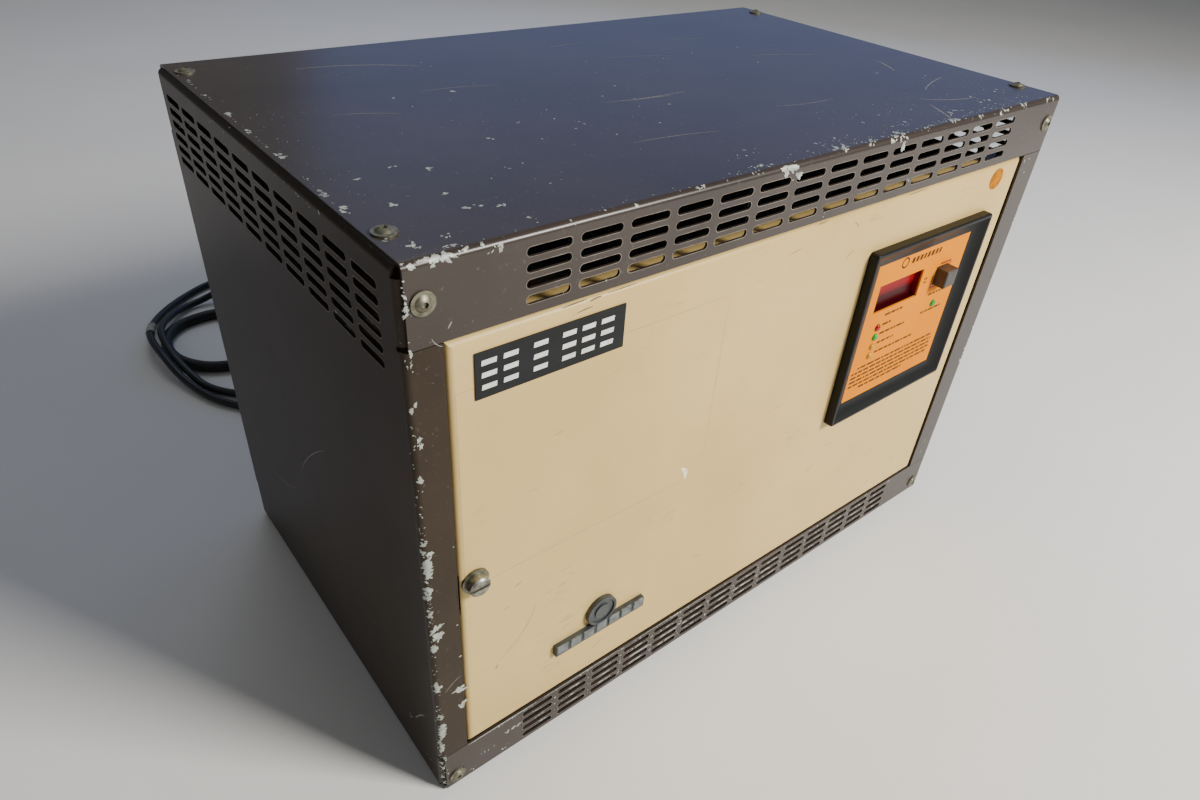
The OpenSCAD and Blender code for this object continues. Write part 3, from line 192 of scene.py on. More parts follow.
def tube(path, radius, sides=12, up=(0, 0, 1)):
    """A round tube: at each point of the path a circle in the plane across the path.

    A point is path + radius (cos a side + sin a up), side being the path's direction
    crossed with a fixed vector. Both ends close on a point in their middle.
    """
    path = np.asarray(path, float)
    head = np.gradient(path, axis=0)
    head /= np.linalg.norm(head, axis=1, keepdims=True)
    side = np.cross(head, np.asarray(up, float))
    side /= np.linalg.norm(side, axis=1, keepdims=True)
    high = np.cross(side, head)
    a = 2 * np.pi * np.arange(sides) / sides
    r = np.broadcast_to(np.asarray(radius, float), (len(path),))[:, None, None]
    ring = path[:, None] + r * (
        np.cos(a)[None, :, None] * side[:, None] + np.sin(a)[None, :, None] * high[:, None]
    )
    first = np.repeat(path[:1, None], sides, 1)
    last = np.repeat(path[-1:, None], sides, 1)
    return closed(np.concatenate([first, ring, last]))


def weld(points, faces):
    """Joins equal points and splits the faces into quads and the triangles that remain."""
    _, first, back = np.unique(np.round(points, 4), axis=0, return_index=True, return_inverse=True)
    points, faces = points[first], back.reshape(-1)[faces]
    same = (faces == np.roll(faces, -1, 1)).sum(1)
    quads, thin = faces[same == 0], faces[same == 1]
    keep = thin != np.roll(thin, -1, 1)
    tris = thin[keep].reshape(-1, 3) if len(thin) else np.zeros((0, 3), int)
    return points, [f for f in (quads, tris) if len(f)]


def closed(rings):
    """A shell from rings of points, whose first and last rings shrink to one point."""
    points, faces = weld(rings.reshape(-1, 3), quads_of(*rings.shape[:2], closed_cols=True))
    return [outward(points, f) for f in faces]


def slab(skin, back):
    """A closed slab between two grids of points of one shape, with its four sides."""
    rows, cols = skin.shape[:2]
    number = np.arange(rows * cols).reshape(rows, cols)
    rim = np.concatenate([number[:-1, 0], number[-1, :-1], number[:0:-1, -1], number[0, :0:-1]])
    after = np.roll(rim, -1)
    n = rows * cols
    side = np.stack([rim, after, after + n, rim + n], -1)
    front = quads_of(rows, cols)[:, ::-1]
    faces = np.concatenate([front, quads_of(rows, cols) + n, side])
    return [outward(np.concatenate([skin.reshape(-1, 3), back.reshape(-1, 3)]), faces)]


def turned(profile, centre, axis, sides=32):
    """A profile of (radius, height) pairs turned about an axis through the centre."""
    profile = np.asarray(profile, float)
    axis = np.asarray(axis, float)
    side = np.cross(axis, (0, 0, 1) if abs(axis[2]) < 0.9 else (0, 1, 0))
    side /= np.linalg.norm(side)
    other = np.cross(axis, side)
    a = 2 * np.pi * np.arange(sides) / sides
    spoke = np.cos(a)[:, None] * side + np.sin(a)[:, None] * other
    p = np.asarray(centre, float) + profile[:, None, :1] * spoke[None] + profile[:, None, 1:] * axis
    points, faces = weld(p.reshape(-1, 3), quads_of(len(profile), sides, closed_cols=True))
    # the faces look outwards if their normals point away from the middle in sum
    first, second, third = points[np.concatenate([f[:, :3] for f in faces])].transpose(1, 0, 2)
    away = (first + second + third) / 3 - points.mean(0)
    flip = (away * np.cross(second - first, third - first)).sum() < 0
    return [(points, f[:, ::-1] if flip else f) for f in faces]


def smooth_route(route, per=10):
    """The curve of the part's source through the route's points: on each stretch a
    cubic whose slope at a point is half the step between its two neighbours."""
    p = np.asarray(route, float)
    last = len(p) - 1
    i = np.repeat(np.arange(last), per)
    t = (np.tile(np.arange(per), last) / per)[:, None]
    a, b, c, d = p[np.maximum(i - 1, 0)], p[i], p[i + 1], p[np.minimum(i + 2, last)]
    curve = 0.5 * (
        2 * b + (c - a) * t + (2 * a - 5 * b + 4 * c - d) * t**2 + (3 * b - a - 3 * c + d) * t**3
    )
    return np.vstack([curve, p[-1:]])


def even(path, step):
    """The path's points set again at equal steps along its length."""
    far = np.r_[0, np.cumsum(np.linalg.norm(np.diff(path, axis=0), axis=1))]
    at = np.linspace(0, far[-1], int(round(far[-1] / step)) + 1)
    return np.stack([np.interp(at, far, path[:, k]) for k in range(3)], 1)


def ease(x, a, b):
    """0 before a, 1 after b, and a smooth cubic between them."""
    t = np.clip((x - a) / (b - a), 0, 1)
    return t * t * (3 - 2 * t)


def box_on(x0, x1, z0, z1, y0, y1, slant=0.0):
    """A block between two corners; slant leans its upper edge towards +X."""
    x = np.array([[x0, x1, x1, x0], [x0 + slant, x1 + slant, x1 + slant, x0 + slant]])
    y = np.array([[y0, y0, y1, y1]] * 2)
    z = np.array([[z0] * 4, [z1] * 4])
    p = np.stack([x, y, z], -1).reshape(-1, 3)
    f = np.array([[0, 3, 2, 1], [4, 5, 6, 7], [0, 1, 5, 4], [1, 2, 6, 5], [2, 3, 7, 6], [3, 0, 4, 7]])
    return outward(p, f)


def repeated(faces, count, size):
    """The faces once for each of a number of copies that have size points each."""
    return (faces[None] + size * np.arange(count)[:, None, None]).reshape(-1, faces.shape[1])


def laid(place, s, t, out, faces):
    """A sheet that lies on a surface: the surface's points at the parameters s and t
    and out from it, and the faces turned to look the way in which out grows."""
    points = place(s, t, out)
    ahead = (place(s, t, out + 1) - points).reshape(-1, 3)[faces[0, 0]]
    points = points.reshape(-1, 3)
    a, b, c = points[faces[0, [0, 1, -1]]]
    return points, faces if np.cross(b - a, c - a) @ ahead > 0 else faces[:, ::-1]


# Finishes


def add(tree, kind, inputs=None, **settings):
    """Adds a shader node, sets its settings, and fills or links its inputs. A node that
    is given for an input stands for its first output."""
    node = tree.nodes.new("ShaderNode" + kind)
    for key, value in settings.items():
        setattr(node, key, value)
    for key, value in (inputs or {}).items():
        if isinstance(value, bpy.types.Node):
            value = value.outputs[0]
        if isinstance(value, bpy.types.NodeSocket):
            tree.links.new(value, node.inputs[key])
        else:
            node.inputs[key].default_value = value
    return node


def begin(name, **surface):
    """A new material with its surface shader and the piece's own coordinates."""
    material = bpy.data.materials.new(name)
    material.use_nodes = True
    tree = material.node_tree
    tree.nodes.clear()
    surface = {k.replace("_", " "): v for k, v in surface.items()}
    shader = add(tree, "BsdfPrincipled", surface)
    add(tree, "OutputMaterial", {"Surface": shader})
    where = add(tree, "TexCoord").outputs["Object"]
    return material, tree, shader, where


def grained(name, light, dark, patch, rough, grain, bump, stretch=(1, 1, 1), **surface):
    """A surface whose colour drifts between two tones over patches of one size and
    whose gloss and relief follow a finer grain. Sizes are in millimetres."""
    material, tree, shader, where = begin(name, **surface)
    along = add(tree, "Mapping", {"Vector": where, "Scale": stretch})
    drift = add(
        tree, "TexNoise",
        {"Vector": along, "Scale": 1000 / patch, "Detail": 5.0, "Roughness": 0.6},
    )
    fine = add(tree, "TexNoise", {"Vector": along, "Scale": 1000 / grain, "Detail": 3.0})
    steps = add(tree, "MapRange", {"Value": drift, "From Min": 0.35, "From Max": 0.65})
    tone = add(tree, "Mix", {0: steps, 6: linear(dark), 7: linear(light)}, data_type="RGBA")
    gloss = add(
        tree, "MapRange",
        {
            "Value": fine, "From Min": 0.3, "From Max": 0.7,
            "To Min": rough * 0.8, "To Max": min(rough * 1.25, 1.0),
        },
    )
    relief = add(tree, "Bump", {"Height": fine, "Strength": 0.6, "Distance": bump * MM})
    tree.links.new(tone.outputs[2], shader.inputs["Base Color"])
    tree.links.new(gloss.outputs[0], shader.inputs["Roughness"])
    tree.links.new(relief.outputs[0], shader.inputs["Normal"])
    return material


def paint(*names, material):
    """Gives a material to CAD nodes."""
    for name in names:
        slots = NODES[name].data.materials
        slots.clear()
        slots.append(material)


def stove_enamel(name, base, gloss, chips, ior=1.38):
    """Stove enamel on folded sheet: a smooth sprayed coat with fine orange peel,
    rubbed duller in long scuffs, and worn to the bare sheet along the box's edges."""
    material, tree, shader, where = begin(name, Metallic=0.0, IOR=ior)
    # clouds of about 110 mm, where the coat is thinner
    cloud = add(tree, "TexNoise", {"Vector": where, "Scale": 1000 / 110, "Detail": 6.0, "Roughness": 0.6})
    # orange peel of about 1.5 mm, and dust specks of about 3 mm
    peel = add(tree, "TexNoise", {"Vector": where, "Scale": 1000 / 1.5, "Detail": 2.0})
    specks = add(tree, "TexNoise", {"Vector": where, "Scale": 1000 / 3.0, "Detail": 4.0, "Roughness": 0.7})
    # scuffs 80 mm long and 11 mm wide
    run = add(
        tree, "Mapping",
        {"Vector": where, "Rotation": (0.2, 0.3, 0.5), "Scale": (1000 / 80, 1000 / 11, 1000 / 11)},
    )
    scuff = add(tree, "TexNoise", {"Vector": run, "Scale": 1.0, "Detail": 3.0})
    tone = add(tree, "MapRange", {"Value": cloud, "From Min": 0.35, "From Max": 0.68})
    coat = add(
        tree, "Mix", {0: tone, 6: linear([0.74 * v for v in base]), 7: linear(base)}, data_type="RGBA"
    )
    dust = add(tree, "MapRange", {"Value": specks, "From Min": 0.63, "From Max": 0.75, "To Max": 0.3})
    dusty = add(tree, "Mix", {0: dust, 6: coat.outputs[2], 7: linear("#8e877a")}, data_type="RGBA")
    # distance to the nearest outer edge of the box: the second smallest of the three
    # distances to its faces
    axes = add(tree, "SeparateXYZ", {"Vector": where})
    gap = []
    for k, half in ((0, SIDE * MM), (1, REAR * MM)):
        size = add(tree, "Math", {0: axes.outputs[k]}, operation="ABSOLUTE")
        gap.append(add(tree, "Math", {0: half, 1: size}, operation="SUBTRACT"))
    gap.append(add(tree, "Math", {0: TOP * MM, 1: axes.outputs[2]}, operation="SUBTRACT"))
    low = add(tree, "Math", {0: gap[2], 1: axes.outputs[2]}, operation="MINIMUM")
    near = add(tree, "Math", {0: gap[0], 1: gap[1]}, operation="MINIMUM")
    far = add(tree, "Math", {0: gap[0], 1: gap[1]}, operation="MAXIMUM")
    mid = add(tree, "Math", {0: far, 1: low}, operation="MINIMUM")
    edge = add(tree, "Math", {0: near, 1: mid}, operation="MAXIMUM")
    # chips of about 11 mm with ragged rims, only within a few millimetres of an edge
    flake = add(tree, "TexNoise", {"Vector": where, "Scale": 1000 / 11.0, "Detail": 7.0, "Roughness": 0.68})
    bar = add(
        tree, "MapRange",
        {"Value": edge, "From Min": 0.001, "From Max": 0.009, "To Min": 0.655 - chips, "To Max": 0.9},
    )
    over = add(tree, "Math", {0: flake, 1: bar}, operation="SUBTRACT")
    bare = add(tree, "MapRange", {"Value": over, "From Min": 0.0, "From Max": 0.01})
    colour = add(tree, "Mix", {0: bare, 6: dusty.outputs[2], 7: linear("#a9b0a8")}, data_type="RGBA")
    shine = add(
        tree, "MapRange",
        {"Value": scuff, "From Min": 0.3, "From Max": 0.75, "To Min": gloss, "To Max": gloss + 0.015},
    )
    dull = add(tree, "Math", {0: bare, 1: 0.25, 2: shine}, operation="MULTIPLY_ADD")
    relief = add(tree, "Bump", {"Height": peel, "Strength": 0.25, "Distance": 0.02 * MM})
    step = add(
        tree, "Bump", {"Height": bare, "Strength": 0.5, "Distance": 0.08 * MM, "Normal": relief},
        invert=True,
    )
    tree.links.new(colour.outputs[2], shader.inputs["Base Color"])
    tree.links.new(dull.outputs[0], shader.inputs["Roughness"])
    tree.links.new(step.outputs[0], shader.inputs["Normal"])
    return material


def layered(name, light, dark, pitch, axis, rough, **surface):
    """Thin layers or turns side by side: bands of one pitch in millimetres along an
    axis. A band pattern of scale s repeats every 0.314 / s metres."""
    material, tree, shader, where = begin(name, **surface)
    bands = add(
        tree, "TexWave",
        {
            "Vector": where, "Scale": 0.314159 / (pitch * MM), "Distortion": 0.6, "Detail": 1.0,
            "Detail Scale": 0.4,
        },
        bands_direction=axis,
    )
    stain = add(tree, "TexNoise", {"Vector": where, "Scale": 1000 / 30, "Detail": 5.0})
    mixed = add(tree, "Math", {0: stain, 1: 0.5, 2: bands.outputs["Fac"]}, operation="MULTIPLY_ADD")
    tone = add(tree, "MapRange", {"Value": mixed, "From Min": 0.2, "From Max": 1.1})
    colour = add(tree, "Mix", {0: tone, 6: linear(dark), 7: linear(light)}, data_type="RGBA")
    relief = add(
        tree, "Bump", {"Height": bands.outputs["Fac"], "Strength": 0.7, "Distance": 0.12 * pitch * MM},
    )
    tree.links.new(colour.outputs[2], shader.inputs["Base Color"])
    shader.inputs["Roughness"].default_value = rough
    tree.links.new(relief.outputs[0], shader.inputs["Normal"])
    return material


# Settings


class EnamelSettings(bpy.types.PropertyGroup):
    cabinet: FloatVectorProperty(
        name="Cabinet", description="Colour of the cabinet's enamel", subtype="COLOR",
        size=3, min=0, max=1, default=linear("#3f3732")[:3],
    )
    door: FloatVectorProperty(
        name="Door", description="Colour of the door's enamel", subtype="COLOR",
        size=3, min=0, max=1, default=linear("#d8bc7b")[:3],
    )
    wear: FloatProperty(
        name="Wear", description="How much of the enamel is chipped off along the edges",
        subtype="FACTOR", min=0, max=0.1, default=0.03,
    )


class CordSettings(bpy.types.PropertyGroup):
    mains: FloatProperty(
        name="Mains lead", description="Diameter of the mains lead", unit="LENGTH",
        subtype="DISTANCE", min=0.006, max=0.01, default=0.008,
    )
    battery: FloatProperty(
        name="Battery lead", description="Diameter of the battery lead", unit="LENGTH",
        subtype="DISTANCE", min=0.009, max=0.012, default=0.012,
    )
    sides: IntProperty(
        name="Sides", description="Sides of a cord's round section", min=8, max=32, default=16
    )


class PrintSettings(bpy.types.PropertyGroup):
    foil: FloatVectorProperty(
        name="Foil", description="Colour of the control panel's foil", subtype="COLOR",
        size=3, min=0, max=1, default=linear("#e68900")[:3],
    )
    line_height: FloatProperty(
        name="Line height", description="Height of a printed line", unit="LENGTH",
        subtype="DISTANCE", min=0.0008, max=0.0024, default=0.0017,
    )


class StageSettings(bpy.types.PropertyGroup):
    key: FloatProperty(
        name="Key light", description="Power of the large light before the door", unit="POWER",
        min=0, max=500, default=95,
    )
    sky: FloatProperty(
        name="Cool light", description="Power of the cool light over the far side",
        unit="POWER", min=0, max=500, default=5.5,
    )
    room: FloatProperty(
        name="Room light", description="Strength of the light from all round", min=0, max=2, default=0.14
    )


SETTINGS = {
    "charger_enamel": EnamelSettings,
    "charger_cords": CordSettings,
    "charger_print": PrintSettings,
    "charger_stage": StageSettings,
}


# Pieces


class CHARGER_OT_camera(bpy.types.Operator):
    """Place the camera where the photograph was taken"""

    bl_idname = "charger.camera"
    bl_label = "Camera"

    def execute(self, context):
        # solved from the corners, the vent slots and the control unit as they are seen
        lens = bpy.data.cameras.new("view")
        lens.sensor_width = 36
        lens.lens = 24.657
        lens.shift_x = -0.0063
        lens.shift_y = -0.0006
        lens.clip_start = 0.02
        camera = bpy.data.objects.new("view", lens)
        context.scene.collection.objects.link(camera)
        turn = Matrix(
            ((0.7802, 0.3231, -0.5357), (-0.6221, 0.4914, -0.6096), (0.0663, 0.8088, 0.5844))
        ).to_4x4()
        camera.matrix_world = Matrix.Translation((-0.3934, -0.4367, 0.5393)) @ turn
        context.scene.camera = camera
        return {"FINISHED"}


def coil_path():
    """The coil's centreline. Its angle falls steadily; its distance from the middle
    steps in by one lane on each of the first turns, the line climbs one layer, and the
    distance steps out again, each step eased over sixty degrees."""
    start, whole, step = 105.3, 1823.2, 7.5966667
    turned_by = np.radians(np.arange(0, whole + 1e-6, step))
    s = np.degrees(turned_by)
    lanes = 1 - ease(s, 300, 360) - ease(s, 660, 720) + ease(s, 1260, 1320) + ease(s, 1620, 1680)
    r = COIL_MID_R + LANE * lanes
    high = COIL_LOW + LANE * ease(s, 960, 1020)
    high += 0.9 * ease(s, 1780, 1795) * (1 - ease(s, 1800, 1815))
    a = np.radians(start) - turned_by
    return np.stack([COIL_POS[0] + r * np.cos(a), COIL_POS[1] + r * np.sin(a), high], 1)


class CHARGER_OT_cords(bpy.types.Operator):
    """Lay the mains lead, and the battery lead with its coil and connector"""

    bl_idname = "charger.cords"
    bl_label = "Cords"

    def execute(self, context):
        s = context.scene.charger_cords
        # flexible PVC: a soft drawn sheath, deep blue-black, satin from handling
        sheath = grained("flexible_pvc_navy", "#0e1724", "#070d16", 45, 0.42, 1.2, 0.04, IOR=1.52)
        # chloroprene rubber: an extruded sheath, duller and blacker than PVC
        rubber = grained("chloroprene_rubber_black", "#12161d", "#0a0d13", 60, 0.55, 1.5, 0.06, IOR=1.52)
        # woven glass-cloth tape, greyed by handling
        tape = grained("cloth_tape_grey", "#b9bab0", "#8d8f88", 8, 0.75, 0.8, 0.1, IOR=1.5)
        # polyamide, moulded: black with a soft sheen
        nylon = grained("polyamide_black", "#22252a", "#14161a", 20, 0.42, 1.0, 0.03, IOR=1.53)

        mains = even(smooth_route(MAINS_ROUTE), CORD_STEP)
        thin, thick = s.mains / MM, s.battery / MM
        lead = make("mains_cord", tube(mains, thin / 2, s.sides), sheath, "cabinet")
        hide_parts("mains_lead")
        battery = [smooth_route(BATTERY_ROUTE)[:-1], coil_path()[:-1], smooth_route(TAIL_ROUTE)]
        battery = even(np.vstack(battery), CORD_STEP)
        heavy = make("battery_cord", tube(battery, thick / 2, s.sides), rubber, "cabinet")
        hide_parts("battery_lead", "battery_coil", "battery_tail")
        self.sleeves(((mains, thin, 30.0), (battery, thick, 34.0)), nylon)
        self.wrap(mains, thin, tape)
        self.ties(nylon)
        self.connector()
        return {"FINISHED"}

    def connector(self):
        """The connector's finish, and its grips, cover plate and collar."""
        # glass-filled polycarbonate, moulded: grey, with a sandy skin
        grey = grained("polycarbonate_grey", "#6f7376", "#63676a", 18, 0.5, 1.0, 0.05, IOR=1.5)
        paint("battery_connector", material=grey)
        left, near = (reach("battery_connector", 0, k) for k in (0, 1))
        far, top = (reach("battery_connector", 1, k) for k in (1, 2))
        plate, middle = left + 42, (near + far) / 2
        # grips: seven ridges along each side, which fade out towards the field's rim
        u, v = np.meshgrid(np.linspace(0, 1, 85), np.linspace(0, 1, 13), indexing="ij")
        fade = np.minimum(np.minimum(v, 1 - v) / 0.12, 1) * np.minimum(np.minimum(u, 1 - u) / 0.02, 1)
        ridge = fade**0.5 * (0.35 + 0.75 * (0.5 - 0.5 * np.cos(2 * np.pi * 7 * u)) ** 0.7)
        x, z = left + 6 + 40 * u, 5 + (top - 10) * v
        parts = []
        for y, way in ((near, -1), (far, 1)):
            skin = np.stack([x, y + way * (ridge - 0.05), z], -1)
            parts += slab(skin, np.stack([x, 0 * u + y - way * 0.1, z], -1))
        # cover plate: a rounded rectangle whose rim falls off as a quarter circle
        a = np.linspace(0, np.pi / 2, 6)
        high = top + np.r_[-0.1, 1.3 * np.sin(a)][:, None]
        r = 4.0 - np.r_[0, 1.3 * (1 - np.cos(a))][:, None]
        c = np.radians(np.arange(0, 360, 15))[None]
        x = plate + 29 * np.sign(np.cos(c + 1e-9)) + r * np.cos(c)
        y = middle + 15 * np.sign(np.sin(c + 1e-9)) + r * np.sin(c)
        rings = np.stack(np.broadcast_arrays(x, y, high), -1)
        ends = rings.mean(1, keepdims=True) + 0 * rings
        parts += closed(np.concatenate([ends[:1], rings, ends[-1:]]))
        # collar over the lead's end: its radius falls in four waves away from the housing
        t = np.linspace(0, 1, 30)
        line = np.stack([left + 0.2 - 13.2 * t, 0 * t + middle, 0 * t + top / 2], 1)
        parts += tube(line, 9.4 - 2.4 * t + 0.35 * np.cos(2 * np.pi * 4 * t), 20)
        # screws of the cover plate: low domes
        dome = [(0, 0.75), (1.0, 0.72), (2.1, 0.5), (2.5, 0), (2.5, -0.4), (0, -0.4)]
        for x in (plate - 26, plate + 26):
            for y in (middle - 12, middle + 12):
                parts += turned(dome, (x, y, top + 1.25), (0, 0, 1), 16)
        piece = make("connector_grips", parts, grey, "cabinet", smooth=40)

    def sleeves(self, leads, material):
        """Tapered sleeves over the first stretch of each lead: the radius falls along
        the sleeve and dips in shallow rings. A lead is (path, diameter, length)."""
        parts = []
        for path, wide, length in leads:
            far = np.r_[0, np.cumsum(np.linalg.norm(np.diff(path, axis=0), axis=1))]
            at = np.linspace(0, length, 42)
            line = np.stack([np.interp(at, far, path[:, k]) for k in range(3)], 1)
            t = at / length
            r = wide / 2 + 0.3 + 2.6 * (1 - t) + 0.5 * np.cos(t * 2 * np.pi * 6) * (t < 0.97)
            parts += tube(line, r, 20)
        piece = make("lead_sleeves", parts, material, "cabinet")

    def wrap(self, path, wide, material):
        """Tape wound round the lead: a sleeve with a low wave along its length."""
        place = np.array([-270.5, 508, 15.5])
        i = int(np.argmin(np.linalg.norm(path - place, axis=1)))
        line = even(path[i - 2 : i + 3], 1.2)
        r = wide / 2 + 0.6 + 0.25 * np.cos(np.linspace(0, 2 * np.pi * 3, len(line)))
        piece = make("tape_wrap", tube(line, r, 18), material, "cabinet")

    def ties(self, material):
        """Straps drawn tight round the coil: for each direction in the plane across
        the turns, the point of the turn that lies furthest that way, moved out by the
        turn's radius and a small gap, and kept just over the floor."""
        parts = []
        t = 2 * np.pi * np.arange(72) / 72
        way = np.stack([np.cos(t), np.sin(t)], 1)
        # a strap's section: its distance from the turns, its place along them and the
        # lowest that it may lie
        section = ((0.1, -2.3, 0.16), (0.1, 2.3, 0.16), (1.1, 2.0, 0.03), (1.1, -2.0, 0.03))
        for angle, upper in ((20, 2), (140, 3), (265, 2)):
            a = np.radians(angle)
            away = np.array([np.cos(a), np.sin(a), 0])
            along = np.array([-np.sin(a), np.cos(a), 0])
            layers = ((3, COIL_LOW), (upper, COIL_LOW + LANE))
            turns = np.array([(LANE * (k - 1), z) for count, z in layers for k in range(count)])
            furthest = turns[np.argmax(way @ turns.T, axis=1)]
            rings = []
            for gap, shift, floor in section:
                p = furthest + (LANE / 2 + gap) * way
                out, up = COIL_MID_R + p[:, :1], np.maximum(p[:, 1:], floor)
                rings.append(np.array([*COIL_POS, 0]) + out * away + up * [0, 0, 1] + shift * along)
            points = np.stack(rings, 1).reshape(-1, 3)
            parts.append(outward(points, quads_of(len(t), 4, True, True)))
        piece = make("coil_ties", parts, material, "cabinet")


def fold(t, out):
    """Across a fold of the cabinet, a quarter circle between two flats: how far in from
    the front and from the other face a point lies that is t from the fold's middle,
    measured along the section, and out from its surface."""
    half = FOLD * np.pi / 4
    a = np.clip((t + half) / FOLD, 0, np.pi / 2)
    from_front = FOLD - (FOLD + out) * np.sin(a) + np.maximum(-t - half, 0)
    from_face = FOLD - (FOLD + out) * np.cos(a) + np.maximum(t - half, 0)
    return from_front, from_face


def over_top_front(s, t, out):
    """Over the cover's front fold: s runs along X and t from the top to the front."""
    from_front, from_top = fold(t, out)
    s = np.clip(s, 0.3 - COVER, COVER - 0.3)
    return np.stack([s, FRONT + from_front, TOP - from_top], -1)


def over_left_front(s, t, out):
    """Round the left panel's front fold: s runs up and t from the side to the front."""
    from_front, from_side = fold(t, out)
    s = np.clip(s, PANEL[0] + 1, PANEL[1] - 0.5)
    return np.stack([from_side - SIDE, FRONT + from_front, s], -1)


def over_right_front(s, t, out):
    """The right panel's front fold, the left one mirrored."""
    return over_left_front(s, t, out) * np.array([-1, 1, 1])


def on_top(s, t, out):
    """The cover's flat top: s along X, t along Y."""
    s = np.clip(s, 0.2 - COVER, COVER - 0.2)
    t = np.clip(t, FRONT + 4, REAR - 4)
    return np.stack([s, t, TOP + out + 0 * s], -1)


def on_front(s, t, out):
    """The flat front: s along X, t along Z."""
    return np.stack([s, FRONT - out + 0 * s, t], -1)


def on_left(s, t, out):
    """The left side: s along Y, t along Z."""
    return np.stack([-SIDE - out + 0 * s, s, t], -1)


def chips_on(place, clusters, seed):
    """Flakes of bare sheet. Each flake is a disc in the two parameters of its surface
    whose rim wavers as a sum of sines; the surface's own formula bends it over a fold.

    A cluster is (s, t, spread along s, spread along t, count, largest size).
    """
    rng = np.random.default_rng(seed)
    rows = np.array(clusters, float)
    s0, t0, s_spread, t_spread, _, largest = np.repeat(rows, rows[:, 4].astype(int), 0).T
    n = len(s0)
    s0 = s0 + s_spread * rng.normal(0, 0.45, n)
    t0 = t0 + t_spread * rng.normal(0, 0.45, n)
    size = largest * (0.25 + 0.75 * rng.random(n) ** 1.6)
    turn = rng.uniform(0, np.pi, n)
    flat = rng.uniform(0.35, 0.8, n)
    a = 2 * np.pi * np.arange(24) / 24
    rim = np.ones((n, len(a)))
    for k in range(2, 9):
        rim += rng.normal(0, 0.26 / k**0.45, (n, 1)) * np.sin(k * a + rng.uniform(0, 6.3, (n, 1)))
    rim = np.clip(rim, 0.3, 1.9)
    # each flake lies at its own height, so that two that cross don't share a plane
    height = 0.05 + 0.04 * rng.random(n)
    parts = []
    # specks have fewer corners and rings than flakes, and only wide flakes need three rings
    for low, high, skip, rings in ((0, 1.6, 2, 1), (1.6, 3, 1, 2), (3, 99, 1, 3)):
        pick = (size >= low) & (size < high)
        if not pick.any():
            continue
        rho = (np.arange(1, rings + 1) / rings)[None, :, None]
        radius = rho * rim[pick, None, ::skip] * size[pick, None, None] / 2
        u, v = radius * np.cos(a[::skip]), radius * np.sin(a[::skip]) * flat[pick, None, None]
        cos, sin = np.cos(turn[pick])[:, None, None], np.sin(turn[pick])[:, None, None]
        count = len(u)
        s, t = s0[pick, None], t0[pick, None]
        s = np.hstack([s, s + (cos * u - sin * v).reshape(count, -1)])
        t = np.hstack([t, t + (sin * u + cos * v).reshape(count, -1)])
        corners = len(a) // skip
        ring = 1 + np.arange(corners)
        fan = np.stack([0 * ring, ring, np.roll(ring, -1)], 1)
        bands = 1 + quads_of(rings, corners, closed_cols=True)
        for flake in (fan, bands) if rings > 1 else (fan,):
            faces = repeated(flake, count, s.shape[1])
            parts.append(laid(place, s, t, height[pick, None], faces))
    return parts


def strokes(place, lines, out):
    """Scratches: a strip along a bowed line from one point to another, whose width
    runs out at both ends. A line is (s0, t0, s1, t1, bow, width), and out is one height
    over the surface, or one for each line."""
    lines = np.array(lines, float)
    a, b = lines[:, None, :2], lines[:, None, 2:4]
    bow, width = lines[:, 4, None, None], lines[:, 5, None, None]
    k = np.linspace(0, 1, 15)[None, :, None]
    along = (b - a) / np.linalg.norm(b - a, axis=2, keepdims=True)
    side = np.stack([-along[..., 1], along[..., 0]], -1)
    mid = a + (b - a) * k + side * (bow * 4 * k * (1 - k))
    half = side * (width * 0.5 * np.sin(np.pi * (0.08 + 0.84 * k)) ** 0.6)
    s, t = np.moveaxis(np.stack([mid - half, mid + half], 2), -1, 0)
    faces = repeated(quads_of(15, 2), len(lines), 30)
    return [laid(place, s, t, np.reshape(out, (-1, 1, 1)), faces)]


